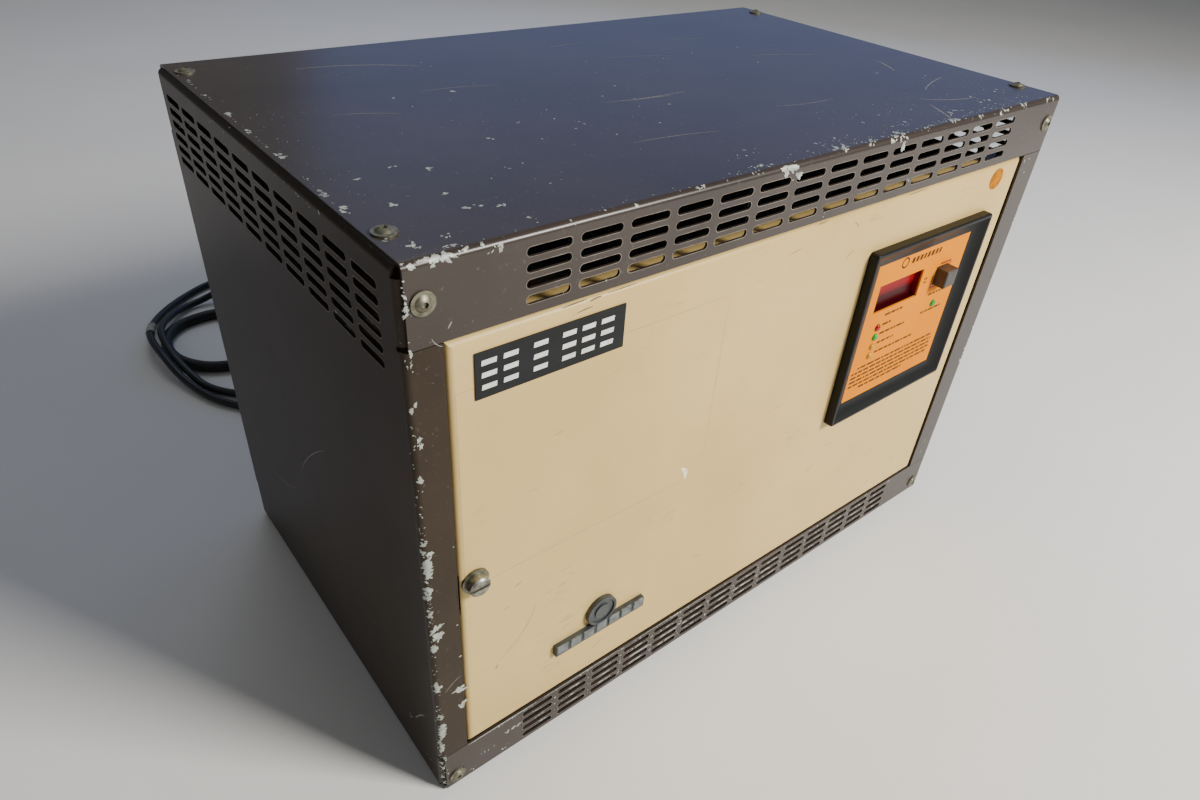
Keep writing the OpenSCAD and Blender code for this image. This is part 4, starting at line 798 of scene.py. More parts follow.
class CHARGER_OT_cabinet(bpy.types.Operator):
    """Paint the cabinet's sheets, with the chips and scratches of use"""

    bl_idname = "charger.cabinet"
    bl_label = "Cabinet"

    def execute(self, context):
        s = context.scene.charger_enamel
        # stove enamel, sprayed on folded sheet: satin brown-grey with a clear gloss
        enamel = stove_enamel("stove_enamel_brown", s.cabinet, 0.26, s.wear)
        paint("base_tray", "top_cover", "right_side_panel", "rear_panel", material=enamel)
        # the left side's enamel is a shaded copy of the cabinet's: painted darker and browner as painted
        # shade and for the warm light that the ground throws on that side, rougher, and with a low IOR so
        # that it reflects less
        shaded_side_tone = s.cabinet[:] * np.array([0.97, 0.93, 0.79])
        dull = stove_enamel("stove_enamel_shaded_side", shaded_side_tone, 0.32, s.wear, ior=1.2)
        paint("left_side_panel", material=dull)
        # zinc-plated steel where the enamel has flaked: pale, flat and faintly mottled
        bare = grained("flaked_zinc_sheet", "#bcc2ba", "#959b93", 5, 0.55, 0.8, 0.05, Metallic=0.25)
        parts = chips_on(over_top_front, [
            (-250, 0, 14, 2.4, 28, 4.2), (-243, -4, 6, 2, 6, 3.2), (-222, 3, 4, 2, 8, 4),
            (-144, 0, 2, 2, 3, 2.5), (-104, -2, 8, 2, 5, 2.5), (-60, -3, 8, 3, 4, 2),
            (-33, 1, 6, 4, 14, 5), (-28, 6, 3, 3, 5, 5), (-52, -6, 10, 4, 10, 3),
            (14, -4, 9, 4, 16, 4.5), (42, -2, 12, 4, 10, 3), (66, -1, 7, 4, 16, 5), (71, 6, 2, 4, 6, 5),
            (100, -2, 8, 2, 7, 3), (132, -3, 9, 3, 16, 4.5), (160, 0, 5, 2, 7, 3),
            (186, 0, 10, 3, 10, 3), (215, -1, 8, 3, 8, 3), (250, 0, 8, 3, 6, 2.5),
            (-60, -4, 190, 3, 60, 1.3), (110, -4, 130, 4, 110, 1.5), (190, -9, 70, 7, 60, 1.4),
            (20, -8, 60, 6, 30, 1.2),
        ], 3)
        parts += chips_on(over_left_front, [
            (372, 3, 12, 1.6, 12, 3), (345, 3, 10, 1.2, 10, 2.4), (318, 3, 6, 1.5, 4, 4),
            (300, 3.5, 6, 1.3, 8, 4), (278, 2, 6, 1.5, 3, 4), (232, 1, 9, 2, 9, 4),
            (214, 2, 10, 2.5, 30, 5.5), (197, 1, 8, 2, 14, 5), (180, 1, 4, 2, 6, 4),
            (160, 4, 7, 3, 14, 6), (150, 2, 4, 2, 5, 4), (113, 1, 5, 2, 9, 5), (84, 1.5, 5, 2, 10, 5),
            (68, 2, 8, 2, 18, 6), (52, 1, 9, 2, 16, 5), (30, 1, 10, 2, 12, 4), (12, 1, 6, 2, 5, 3),
            (200, 1, 180, 2, 110, 1.3), (60, 1, 60, 3, 50, 1.6),
        ], 5)
        parts += chips_on(over_right_front, [
            (372, 3, 5, 1.5, 3, 3), (300, 2, 30, 2, 10, 3), (180, 2, 30, 2, 10, 4), (70, 2, 20, 2, 8, 4),
        ], 7)
        parts += chips_on(on_top, [
            (-263, 118, 1.4, 8, 7, 2.6), (-263.5, 84, 1.4, 6, 4, 3), (-263.5, 45, 1.8, 6, 10, 4.2),
            (-263, 13, 2.2, 5, 7, 3.4), (-262.5, -27, 2, 6, 9, 3.2), (-264, -60, 1.2, 6, 4, 2.2),
            (-264, -83, 1.6, 6, 9, 3.2), (-263.5, -104, 1.8, 5, 9, 3.6), (-262, -134, 3, 6, 8, 3.2),
            (-256, -151, 5, 4, 8, 3), (-264, 0, 1.2, 150, 30, 1.4), (-222, -67, 3, 1, 3, 5),
            (-206, -77.5, 3, 1, 2, 5), (-246, -73.6, 4, 1.5, 3, 4), (-216, -109, 1.5, 1, 2, 4.4),
            (-214, -128, 4, 1.5, 5, 4.6), (-242.5, -110, 2, 1, 2, 3.6), (-197.5, -151.5, 3, 2, 4, 4),
            (-170, 36, 1, 1, 1, 4), (-168, 15, 1, 1, 1, 4), (-131, 33, 2, 2, 2, 4),
            (-194, -25, 1, 1, 1, 3.6), (-127.5, -37, 2, 1, 2, 3.6), (-157, -54, 3, 2, 3, 3),
            (-239, -149, 4, 3, 6, 2.4), (-200, -133, 6, 2, 5, 3.6), (-165, -110, 26, 22, 8, 1.8),
            (-110, -60, 60, 50, 12, 2), (-30, -20, 60, 60, 10, 2), (-45, -140, 28, 8, 12, 2.2),
            (20, -150, 20, 6, 14, 2.6), (84, -148, 24, 6, 16, 2.4), (150, -148, 18, 6, 14, 3),
            (110, -125, 50, 14, 12, 2.2), (190, -140, 12, 6, 10, 3), (120, -120, 90, 34, 60, 0.9),
            (210, -110, 50, 40, 50, 1.0), (-60, -20, 150, 90, 70, 0.8), (-252, 0, 16, 150, 60, 0.9),
            (228, -135, 14, 8, 6, 2.6), (200, -80, 40, 30, 8, 2), (60, 40, 120, 60, 12, 1.8),
            (-150, 90, 70, 50, 9, 2),
        ], 11)
        parts += chips_on(on_front, [
            (-252.5, 84, 1.4, 4, 5, 6), (-254, 100, 3, 1.3, 4, 7), (-252, 222, 1, 1, 1, 2.5),
            (-252.5, 160, 0.8, 1, 1, 3), (-251.5, 132, 1, 2, 1, 2.5), (-180, 352, 60, 2, 3, 1.5),
            (6, 351, 3, 3, 3, 3), (88, 356, 2, 3, 3, 3), (-216, 24, 8, 2, 9, 4),
            (-236, 17, 12, 1, 6, 2), (-221, 9, 5, 2, 3, 3.5), (-248, 7, 3, 1.5, 3, 3),
            (-256, 16, 1.5, 2, 3, 4), (-100, 36.6, 120, 0.4, 26, 2.5), (120, 36.6, 110, 0.4, 22, 2.5),
            (-210, 36.6, 34, 0.4, 16, 2.2), (-259, 14, 4, 4, 5, 3), (250, 340, 6, 12, 5, 2.5),
            (256, 60, 4, 20, 5, 2.5),
        ], 13)
        parts += chips_on(on_left, [
            (-150, 20, 10, 8, 3, 3), (-60, 330, 60, 4, 2, 1.8), (60, 382, 60, 1.5, 8, 2.5),
            (-80, 383, 50, 1.2, 8, 2.5), (-120, 45, 12, 10, 3, 3),
        ], 17)
        piece = make("enamel_chips", parts, bare, "cabinet", smooth=60)
        self.bridges(bare)
        self.rims()
        # the same enamel scratched down to its grey primer: thin dull lines
        primer = grained("primer_scratches", "#8f8d86", "#6f6e6c", 4, 0.6, 0.8, 0.02, IOR=1.5)
        lines = strokes(on_top, [
            (-197, 118, -120, 92, 6, 1.0), (-60, -28, 8, -32, -2.5, 0.7), (-42, -33, -6, -36, 1, 0.6),
            (151, -119, 197, -136, -4, 0.9), (177, -107, 224, -91, 2, 0.8),
            (147, -130, 129, -160, 1, 0.9), (203, -62, 216, -36, -1, 1.1), (-150, 40, -98, 32, 3, 0.5),
            (10, 60, 66, 44, 2, 0.5), (96, 90, 132, 78, -2, 0.5), (-10, 100, 30, 104, 2, 0.5),
            (-214, 20, -180, 6, 2, 0.5), (40, -84, 92, -90, -3, 0.5), (120, 20, 190, -6, 4, 0.5),
            (-90, -96, -30, -104, 2, 0.5),
        ], 0.04)
        lines += strokes(on_left, [
            (-146, 66, -132, 46, 1, 0.8), (-40, 210, 20, 150, 4, 0.6), (40, 120, 100, 96, -3, 0.6),
        ], 0.04)
        lines += strokes(on_front, [
            (-256, 350.5, -251, 345, -0.8, 0.5), (-248, 353, -246, 356, 0, 0.8),
            (-263, 105, -252, 113, 1, 0.5),
        ], 0.04)
        piece = make("enamel_scratches", lines, primer, "cabinet", smooth=60)
        # zinc-plated steel, turned and cold-headed: grey-green with a soft shine
        zinc = grained("zinc_plated_steel", "#8f8d7c", "#605e4e", 4, 0.48, 0.6, 0.04, Metallic=0.85)
        paint(
            "cabinet_screws", "weld_nuts", "base_studs", "base_nuts", "core_bolts", "hinge_pins",
            "din_rail", "lock_washer", "plug_pins", material=zinc,
        )
        return {"FINISHED"}

    def bridges(self, material):
        """Wear of the lower vent: flakes on the bridges between its slots, worn and
        chipped bars, and a worn line along the lip over it."""
        clusters = [(x + COLUMN_PITCH / 2, z, 1.0, 3.0, 2, 2.6) for x in COLUMNS[:-1] for z in BARS]
        parts = chips_on(on_front, clusters, 29)
        rng = np.random.default_rng(43)
        k, z = (g.ravel() for g in np.meshgrid(np.arange(len(COLUMNS)), BARS))
        worn = np.where((k > 0) & (k < 9), rng.uniform(0.2, 1, len(k)), rng.uniform(0, 0.4, len(k)))
        centre = COLUMNS[k] + rng.uniform(-5, 5, len(k))
        # four short strokes to a bar, whose ends and heights don't agree, read as one flake
        worn, centre, z = (np.repeat(a, 4) for a in (worn, centre, z))
        n = len(z)
        middle = centre + (3 + 5 * worn) * rng.uniform(-1, 1, n)
        half = (1 + 3.2 * worn) * rng.uniform(0.5, 1.2, n)
        low, high = (z + rng.uniform(-0.45, 0.45, n) for _ in range(2))
        wide = (0.5 + 1.1 * worn) * rng.uniform(0.6, 1.2, n)
        bow = rng.uniform(-0.25, 0.25, n)
        lines = np.stack([middle - half, low, middle + half, high, bow, wide], 1)
        parts += strokes(on_front, lines, 0.02 + 0.028 * rng.random(n))
        bars = [(x, z, 14, 0.4, 4, 1.9) for x in COLUMNS[1:9] for z in BARS]
        parts += chips_on(on_front, bars, 47)
        parts += strokes(on_front, [
            (-250, 37.3, -196, 37.3, 0, 0.9), (-190, 37.4, -120, 37.4, 0, 0.7),
            (-110, 37.4, -20, 37.4, 0, 0.5),
        ], 0.045)
        piece = make("bridge_flakes", parts, material, "cabinet", smooth=60)

    def rims(self):
        """A narrow pale line round each vent slot, partly worn enamel and partly a painted highlight where
        the punched edge catches the light: the slot's outline, a straight stretch and a half circle twice
        over, between two distances from it."""
        # enamel rubbed thin over a punched edge, with a painted highlight along it: a paler, slightly
        # shinier line
        rim = grained("slot_rims_wear_and_highlight", "#8d857b", "#5a524b", 14, 0.4, 1.0, 0.02, IOR=1.4)
        # a slot's ends are half circles of 2.3 mm, 10.2 mm to each side of its middle
        a = np.radians(np.r_[np.linspace(-90, 90, 9), np.linspace(90, 270, 9)])
        shift = np.repeat([10.2, -10.2], 9)
        r = np.array([2.32, 2.62])[:, None]
        rows = ROW_PITCH * np.arange(4)
        side_rows = 371 - ROW_PITCH * np.arange(6)
        side_columns = -132.5 + COLUMN_PITCH * np.arange(10)
        parts = []
        for place, across, up in (
            (on_front, COLUMNS, UPPER_ROW - rows), (on_front, COLUMNS, LOWER_ROW - rows),
            (on_left, side_columns, side_rows),
        ):
            s0, t0 = (g.ravel()[:, None, None] for g in np.meshgrid(across, up))
            s, t = s0 + shift + r * np.cos(a), t0 + r * np.sin(a)
            faces = repeated(quads_of(2, 18, closed_cols=True), len(s0), 36)
            points, faces = laid(place, s, t, 0.03, faces)
            parts.append((points, faces))
            if place is on_left:
                # the right side's rims are the left side's mirrored
                parts.append((points * [-1, 1, 1], faces[:, ::-1]))
        piece = make("slot_rims", parts, rim, "cabinet", smooth=60)


class CHARGER_OT_door(bpy.types.Operator):
    """Paint the door, with its plate, badge, spot and marks"""

    bl_idname = "charger.door"
    bl_label = "Door"

    def execute(self, context):
        # stove enamel, sprayed cream: smooth, satin, rubbed and a little grimy
        cream = self.cream(context.scene.charger_enamel.door)
        paint("front_door", material=cream)
        # acetal, turned: milky white with a waxy shine
        acetal = grained("acetal_natural", "#e0ddd0", "#cfcabb", 10, 0.4, 1.0, 0.02, IOR=1.48)
        paint("door_bushes", material=acetal)
        # rigid vinyl plate, calendered: black with a dull sheen
        vinyl = grained("vinyl_plate_black", "#191d1f", "#131618", 25, 0.45, 0.7, 0.02, IOR=1.3)
        paint("name_label", material=vinyl)
        # die-cast zinc, lacquered: dark grey and faintly mottled
        cast = grained("lacquered_zinc_casting", "#4a5052", "#363b3d", 9, 0.42, 0.8, 0.05, Metallic=0.35)
        paint("badge", material=cast)
        # printed paper spot under varnish: deep yellow with a low sheen
        spot = grained("varnished_paper_spot", "#c47a00", "#8c5400", 6, 0.5, 1.0, 0.02, IOR=1.12)
        paint("door_sticker", material=spot)
        self.plate_bars()
        self.badge_blocks()
        self.marks()
        return {"FINISHED"}

    def cream(self, light):
        """The door's enamel: two cream tones in clouds, smears of grime in a few places,
        and an orange peel too fine to see but in the gloss."""
        deep = light[:] * np.array([0.889, 0.842, 0.757])
        material, tree, shader, where = begin("stove_enamel_cream", Metallic=0.0, IOR=1.36)
        cloud = add(
            tree, "TexNoise", {"Vector": where, "Scale": 1000 / 140, "Detail": 7.0, "Roughness": 0.62},
        )
        tone = add(tree, "MapRange", {"Value": cloud, "From Min": 0.34, "From Max": 0.66})
        coat = add(tree, "Mix", {0: tone, 6: linear(deep), 7: linear(light)}, data_type="RGBA")
        # grime: thin smears about 20 mm long, kept to a few places by a second pattern
        run = add(
            tree, "Mapping",
            {"Vector": where, "Rotation": (0, 0.5, 0), "Scale": (1000 / 17, 1000 / 5, 1000 / 3.4)},
        )
        smear = add(tree, "TexNoise", {"Vector": run, "Scale": 1.0, "Detail": 5.0, "Roughness": 0.7})
        spots = add(tree, "TexNoise", {"Vector": where, "Scale": 1000 / 38, "Detail": 3.0})
        grime = add(tree, "Math", {0: smear, 1: spots}, operation="MULTIPLY")
        amount = add(tree, "MapRange", {"Value": grime, "From Min": 0.36, "From Max": 0.46, "To Max": 0.35})
        dirty = add(tree, "Mix", {0: amount, 6: coat.outputs[2], 7: linear("#7d6a4a")}, data_type="RGBA")
        peel = add(tree, "TexNoise", {"Vector": where, "Scale": 1000 / 1.6, "Detail": 2.0})
        relief = add(tree, "Bump", {"Height": peel, "Strength": 0.25, "Distance": 0.02 * MM})
        shine = add(
            tree, "MapRange",
            {"Value": cloud, "From Min": 0.3, "From Max": 0.7, "To Min": 0.3, "To Max": 0.42},
        )
        tree.links.new(dirty.outputs[2], shader.inputs["Base Color"])
        tree.links.new(shine.outputs[0], shader.inputs["Roughness"])
        tree.links.new(relief.outputs[0], shader.inputs["Normal"])
        return material

    def plate_bars(self):
        """Three short slanted bars in each of the plate's six places."""
        # screen ink, printed: matt off-white
        ink = grained("screen_ink_white", "#e9e9e6", "#d2d2ce", 6, 0.55, 0.8, 0.01, IOR=1.5)
        face = reach("name_label", 0, 1)
        parts = [
            box_on(x - 4.1, x + 4.1, z, z + 2.8, face - 0.1, face + 0.02, slant=0.3)
            for x in (-228.5, -216.5, -199.5, -182.5, -170.5, -158.5) for z in (314.8, 321.6, 328.4)
        ]
        piece = make("plate_bars", parts, ink, "door")

    def badge_blocks(self):
        """Seven raised blocks along the badge's bar, each a frustum: a rectangle that
        narrows as it rises."""
        # die-cast zinc, rubbed through its lacquer: paler and shinier than the rest
        metal = grained("worn_zinc_casting", "#80878a", "#5a6063", 5, 0.36, 0.6, 0.04, Metallic=0.5)
        parts = []
        for x in -178.6 + 10.9 * np.arange(7):
            rings = []
            for y, inset in ((-167.3, 0.0), (-168.0, 0.0), (-168.5, 0.7)):
                x0, x1, z0, z1 = x - 4.3 + inset, x + 4.3 - inset, 82.2 + inset, 89.8 - inset
                rings.append([(x0, y, z0), (x1, y, z0), (x1, y, z1), (x0, y, z1)])
            rings = np.array(rings)
            parts.append((rings.reshape(-1, 3), quads_of(3, 4, closed_cols=True)))
            parts.append((rings[2], np.array([[0, 1, 2, 3]])))
        piece = make("badge_blocks", parts, metal, "door")

    def marks(self):
        """The outline that an older plate left, a nick in the enamel with a painted shadow beside it, and
        dark rubs of dirt.
        """
        # glue and dust left along a plate's rim: a thin line a little darker than the door
        line = grained("old_plate_outline", "#bfa877", "#b39b69", 6, 0.5, 0.8, 0.01, IOR=1.5)
        ring = strokes(on_front, [
            (-246, 184, -246, 317, 0, 0.6), (-246, 317, -66.5, 317, 0, 0.6),
            (-66.5, 317, -66.5, 184, 0, 0.5), (-246, 184, -66.5, 184, 0, 0.7),
        ], 0.03)
        piece = make("old_plate_outline", ring, line, "door")
        # a nick in the enamel: a small pale sliver
        nick = grained("pale_nick", "#fff3d2", "#ecdcae", 3, 0.4, 0.8, 0.05, IOR=1.5)
        parts = strokes(on_front, [(-85, 195.5, -80.6, 184.2, 1.6, 3.9)], 0.12)
        piece = make("door_nick", parts, nick, "door")
        # ground-in dirt, and beside the nick a painted shadow of its edge: thin brown marks without gloss
        grime_and_shadow = grained("grime_and_nick_shadow", "#7e6d4c", "#5d5038", 3, 0.6, 0.8, 0.01, IOR=1.5)
        parts = strokes(on_front, [
            # the first line runs beside the nick and is a painted shadow of its edge; the others are dirt
            (-83.6, 196, -79.2, 185, 1.8, 0.5), (-222, 150, -217, 152, 0.4, 0.4),
            (-226, 106, -198, 142, -5, 0.35), (-214, 166, -208, 168, 0, 0.5),
            (41, 312, 47, 317, 0.5, 0.6), (-178, 339, -168, 340, 0.3, 0.7),
            (-228, 100, -226, 103, 0, 0.9), (-150, 60, -140, 64, 0.6, 0.4),
            (60, 120, 72, 124, 0.6, 0.4), (-20, 330, -8, 332, 0.2, 0.4), (150, 96, 158, 99, 0.3, 0.4),
            (-186, 344.6, -172, 345.2, 0.1, 0.8), (-170, 343.4, -163, 344.4, 0.2, 0.9),
            (-158, 344.8, -140, 345.1, 0.1, 0.5), (4, 344.7, 12, 345.1, 0.1, 0.7),
            (96, 344.8, 118, 345.2, 0.1, 0.6), (40, 338, 46, 333, 0.6, 0.5),
            (196, 70, 200, 72, 0.3, 0.6), (-60, 96, -48, 93, 0.5, 0.35),
        ], 0.03)
        piece = make("door_grime_and_nick_shadow", parts, grime_and_shadow, "door")


class CHARGER_OT_control(bpy.types.Operator):
    """Make the control unit: bezel, foil and print, window, lamps and button"""

    bl_idname = "charger.control"
    bl_label = "Control unit"

    def execute(self, context):
        self.bezel()
        self.foil(context.scene.charger_print)
        paint("display_window", material=self.acrylic())
        # epoxy, cast into the display block: nearly black and matt
        block = grained("epoxy_block_dark", "#2a1013", "#1a0a0c", 10, 0.5, 1.0, 0.03)
        paint("display_module", material=block)
        # light-emitting diodes, cast from epoxy: clear, glossy colours
        for node, name, light, dark in (
            ("red_lamp", "epoxy_lens_red", "#d3141c", "#9c0c12"),
            ("green_lamps", "epoxy_lens_green", "#2fb457", "#1c8a3c"),
            ("yellow_lamps", "epoxy_lens_yellow", "#c9a51b", "#a8820f"),
        ):
            lens = grained(name, light, dark, 3, 0.12, 2.0, 0.01, IOR=1.5, Coat_Weight=0.6)
            paint(node, material=lens)
        self.domes()
        # ABS, moulded: a warm dark grey, its grain rubbed by fingers
        key = grained("abs_key_grey", "#3f3b35", "#2c2824", 6, 0.45, 0.6, 0.06, IOR=1.54)
        paint("push_button", material=key)
        # polyamide, moulded: black-grey with a satin skin
        black = grained("polyamide_housing_black", "#2b2d2f", "#1e2021", 40, 0.5, 1.2, 0.06, IOR=1.53)
        paint("control_housing", "button_switch", material=black)
        # glass-fibre laminate under green lacquer: glossy and slightly uneven
        board = grained("lacquered_glass_board", "#2f6b3f", "#235231", 8, 0.35, 1.0, 0.03, IOR=1.5)
        paint("control_board", material=board)
        # epoxy, moulded round the board's parts: dark and satin
        moulded = grained("epoxy_moulded_parts", "#33363b", "#202226", 12, 0.45, 1.0, 0.04)
        paint("board_parts", material=moulded)
        # brass, turned and nickel-plated: pale gold and bright
        nickel = grained("nickel_brass_spacers", "#c6b477", "#a3925c", 5, 0.3, 0.8, 0.02, Metallic=1.0)
        paint("board_spacers", material=nickel)
        return {"FINISHED"}

    def acrylic(self):
        """The window's material, painted with light and shade: bright red over z 267 mm and beyond x 144
        mm, each border a short ramp, and dark red elsewhere."""
        # cast acrylic, coloured through and polished. Its upper half and its right wall are painted bright
        # red, a painted glow of the light that runs inside it, and the part before the display is painted
        # dark red, a painted shade
        material, tree, shader, where = begin("acrylic_red", IOR=1.2, Roughness=0.3)
        axes = add(tree, "SeparateXYZ", {"Vector": where})
        high = add(tree, "MapRange", {"Value": axes.outputs[2], "From Min": 0.2645, "From Max": 0.2700})
        wall = add(tree, "MapRange", {"Value": axes.outputs[0], "From Min": 0.1438, "From Max": 0.1444})
        # the painted glow: bright where the upper half or the right wall is
        painted_glow = add(tree, "Math", {0: high, 1: wall}, operation="MAXIMUM")
        cloud = add(tree, "TexNoise", {"Vector": where, "Scale": 1000 / 30, "Detail": 2.0})
        tone = add(tree, "MapRange", {"Value": cloud, "To Min": 0.6, "To Max": 0.9})
        part = add(tree, "Math", {0: painted_glow, 1: tone}, operation="MULTIPLY")
        colour = add(tree, "Mix", {0: part, 6: linear("#360209"), 7: linear("#96000a")}, data_type="RGBA")
        tree.links.new(colour.outputs[2], shader.inputs["Base Color"])
        return material

    def domes(self):
        """The lamps' rounded fronts: half of an ellipse turned about Y."""
        a = np.radians(np.linspace(90, 0, 8))
        half = np.stack([2.9 * np.cos(a), 0.05 + 2.1 * np.sin(a)], 1)
        half = np.vstack([half, [(2.9, -0.03), (0, -0.03)]])
        for name, light, dark, places in (
            ("red_dome", "#a40008", "#960007", [(102.6, 241.6)]),
            ("green_domes", "#0c9e36", "#0b9031", [(102.6, 233.5), (173.6, 241.4)]),
            ("yellow_domes", "#cb9700", "#bd8c00", [(102.6, 225.4), (102.6, 217.3)]),
        ):
            # cast epoxy lens with a polished front: a clear gloss, slightly cloudy inside
            lens = grained("epoxy_" + name, light, dark, 3, 0.1, 2.0, 0.005, IOR=1.5)
            parts = []
            for x, z in places:
                parts += turned(half, (x, FOIL, z), (0, -1, 0), 20)
            piece = make(name, parts, lens, "door", smooth=60)

    def bezel(self):
        """The frame round the foil: a closed profile of inset and height carried round
        a square whose corner radius shrinks by the inset, down to a sharp mitre."""
        u = np.linspace(0, 1, 9)
        outer = [(0.0, 0.0), (0.0, 3.0), (0.15, 5.6)]
        edge = [(1.4 - 1.25 * np.cos(a), 5.75 + 1.25 * np.sin(a)) for a in np.radians([10, 30, 50, 70, 90])]
        crest = [(2.6, 7.0), (3.1, 6.9), (3.5, 6.62)]
        hollow = [(3.5 + 11.1 * t, 1.62 + 5.0 * (1 - t) ** 1.55) for t in u[1:]]
        profile = np.array(outer + edge + crest + hollow + [(14.85, 1.45), (15.0, 1.0), (15.0, 0.0)])
        inset, proud = profile[:, 0][:, None], profile[:, 1][:, None]
        radius = np.maximum(3.0 - inset, 0.35)
        quarter = np.radians(np.linspace(0, 90, 7))
        ring = []
        for turn, (sx, sz) in enumerate(((1, 1), (-1, 1), (-1, -1), (1, -1))):
            a = quarter + turn * np.pi / 2
            cx = sx * (BEZEL_HALF - inset - radius)
            cz = sz * (BEZEL_HALF - inset * 14 / 15 - radius)
            x, z = cx + radius * np.cos(a), cz + radius * np.sin(a)
            # a point 1.5 mm before and after each corner keeps the long sides flat
            sine, cosine = 1.5 * np.sin(a[[0, -1]]), 1.5 * np.cos(a[[0, -1]])
            x = np.hstack([x[:, :1] + sine[0], x, x[:, -1:] - sine[1]])
            z = np.hstack([z[:, :1] - cosine[0], z, z[:, -1:] + cosine[1]])
            ring.append(np.stack([BEZEL[0] + x, FRONT - proud + 0 * x, BEZEL[1] + z], -1))
        p = np.hstack(ring)
        part = outward(p.reshape(-1, 3), quads_of(*p.shape[:2], True, True))
        # ABS, injection-moulded: near black, with a satin gloss on the hollow slopes
        abs_black = grained("abs_bezel_black", "#0f1213", "#0a0c0d", 35, 0.38, 0.3, 0.006, IOR=1.28)
        piece = make("bezel_frame", part, abs_black, "door", smooth=28)
        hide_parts("control_bezel")

    def foil(self, s):
        """The foil's finish and print: rows of bars, a ring, and the key's edging."""
        # polyester foil, screen-printed from behind: clear orange with a low sheen
        shade = 0.93 * np.array(s.foil[:])
        foil = grained("polyester_foil_orange", s.foil, shade, 60, 0.55, 1.4, 0.015, IOR=1.12)
        paint("control_panel", material=foil)
        # screen ink, printed: brown on the orange
        ink = grained("screen_ink_brown", "#4c2a08", "#3a1f05", 8, 0.5, 1.0, 0.005, IOR=1.2)
        rng = np.random.default_rng(21)
        high = s.line_height / MM
        # a row is (x0, x1, z, height, narrowest bar, widest bar, gap)
        rows = [(123.4, 162.5, 290.4, 4.2, 2.4, 3.4, 1.9)]
        rows += [(x0, x1, z, high, 1.6, 7.0, 1.1) for x0, x1, z in (
            (108, 130, 250.6), (108.3, 120, 242.2), (108, 139.5, 234.6), (108.3, 129, 226.4),
            (108.3, 156.5, 218.1), (163, 186, 251.4), (160, 187, 236.2),
        )]
        rows += [(149.3, 154.0, 268.6, high * 0.8, 1.0, 2.0, 0.6)]
        rows += [(149.3, 153.0, 265.6, high * 0.8, 1.0, 2.0, 0.6)]
        block = ((92, 190), (86, 190), (86, 189.5), (86, 190), (86, 188), (100, 157))
        rows += [(x0, x1, 208.6 - 3.9 * k, high, 2.2, 9.0, 1.2) for k, (x0, x1) in enumerate(block)]
        parts = [part for row in rows for part in self.bars(rng, *row)]
        # a plain ring: a flat washer of ink
        a = 2 * np.pi * np.arange(40) / 40
        r = np.array([3.1, 4.4])[:, None]
        ring = np.stack([115.3 + r * np.cos(a), FOIL - 0.04 + 0 * r * a, 290.9 + r * np.sin(a)], -1)
        parts.append((ring.reshape(-1, 3), quads_of(2, 40, closed_cols=True)))
        piece = make("foil_print", parts, ink, "door")
        # screen ink bled round the key's opening: a thin dark red line
        red = grained("screen_ink_red", "#a30b12", "#7c070c", 8, 0.5, 1.0, 0.005, IOR=1.3)
        edge = [box_on(*side, FOIL - 0.05, FOIL + 0.01) for side in (
            (167.5, 181.2, 276.2, 277.5), (179.9, 181.2, 267, 276.3),
            (160.8, 162.1, 257.1, 268), (162.0, 172, 257.1, 258.4),
        )]
        piece = make("key_edging", edge, red, "door")

    def bars(self, rng, x0, x1, z, tall, low, high, gap):
        """A printed line as a row of bars of uneven width, leaning a little."""
        parts = []
        x = x0
        while x < x1 - 0.8:
            w = min(rng.uniform(low, high), x1 - x)
            parts.append(
                box_on(x, x + w, z - tall / 2, z + tall / 2, FOIL - 0.04, FOIL + 0.01, tall * 0.2)
            )
            x += w + gap
        return parts


class CHARGER_OT_lock(bpy.types.Operator):
    """Finish the quarter-turn lock"""

    bl_idname = "charger.lock"
    bl_label = "Lock"

    def execute(self, context):
        # zinc casting, nickel-plated and handled: bright and brownish in patches a few millimetres across
        nickel = grained("nickel_plated_zinc", "#a0a298", "#66655a", 3.5, 0.42, 0.7, 0.06, Metallic=0.85)
        paint("lock_parts", material=nickel)
        return {"FINISHED"}


class CHARGER_OT_transformer(bpy.types.Operator):
    """Finish the transformer: core, winding, clamps and terminals"""

    bl_idname = "charger.transformer"
    bl_label = "Transformer"

    def execute(self, context):
        # electrical sheet, stacked and dipped in varnish: brown-black layers, drawn
        # 1.6 mm thick so that they show
        core = layered("varnished_core_sheet", "#56493d", "#2c2622", 1.6, "Y", 0.4, Metallic=0.3)
        paint("transformer_core", material=core)
        # copper wire, enamelled and wound: brown turns of 2.4 mm under varnish
        wire = layered("enamelled_copper_wire", "#7d5534", "#4b301c", 2.4, "Z", 0.36, Metallic=0.35)
        paint("transformer_windings", material=wire)
        # pressboard, pressed and cut: tan, fibrous and without gloss
        paint("coil_former", material=grained("pressboard", "#8a7a55", "#6d6044", 20, 0.75, 1.2, 0.1))
        # steel, pressed, plain and oiled: grey with a broken shine
        steel = grained("pressed_steel", "#93989a", "#6f7476", 30, 0.42, 0.9, 0.03, Metallic=0.85)
        paint("core_clamps", "component_plate", "rail_bracket", "hinge_brackets", material=steel)
        # paper laminate, sawn: brown with a low gloss
        laminate = grained("paper_laminate", "#5e3d22", "#452b17", 14, 0.45, 1.2, 0.05, IOR=1.55)
        paint("terminal_board", material=laminate)
        # brass, drawn: yellow with a clear shine
        brass = grained("drawn_brass", "#c9a852", "#a2823a", 8, 0.32, 0.7, 0.02, Metallic=1.0)
        paint("terminal_studs", "current_shunt", material=brass)
        return {"FINISHED"}


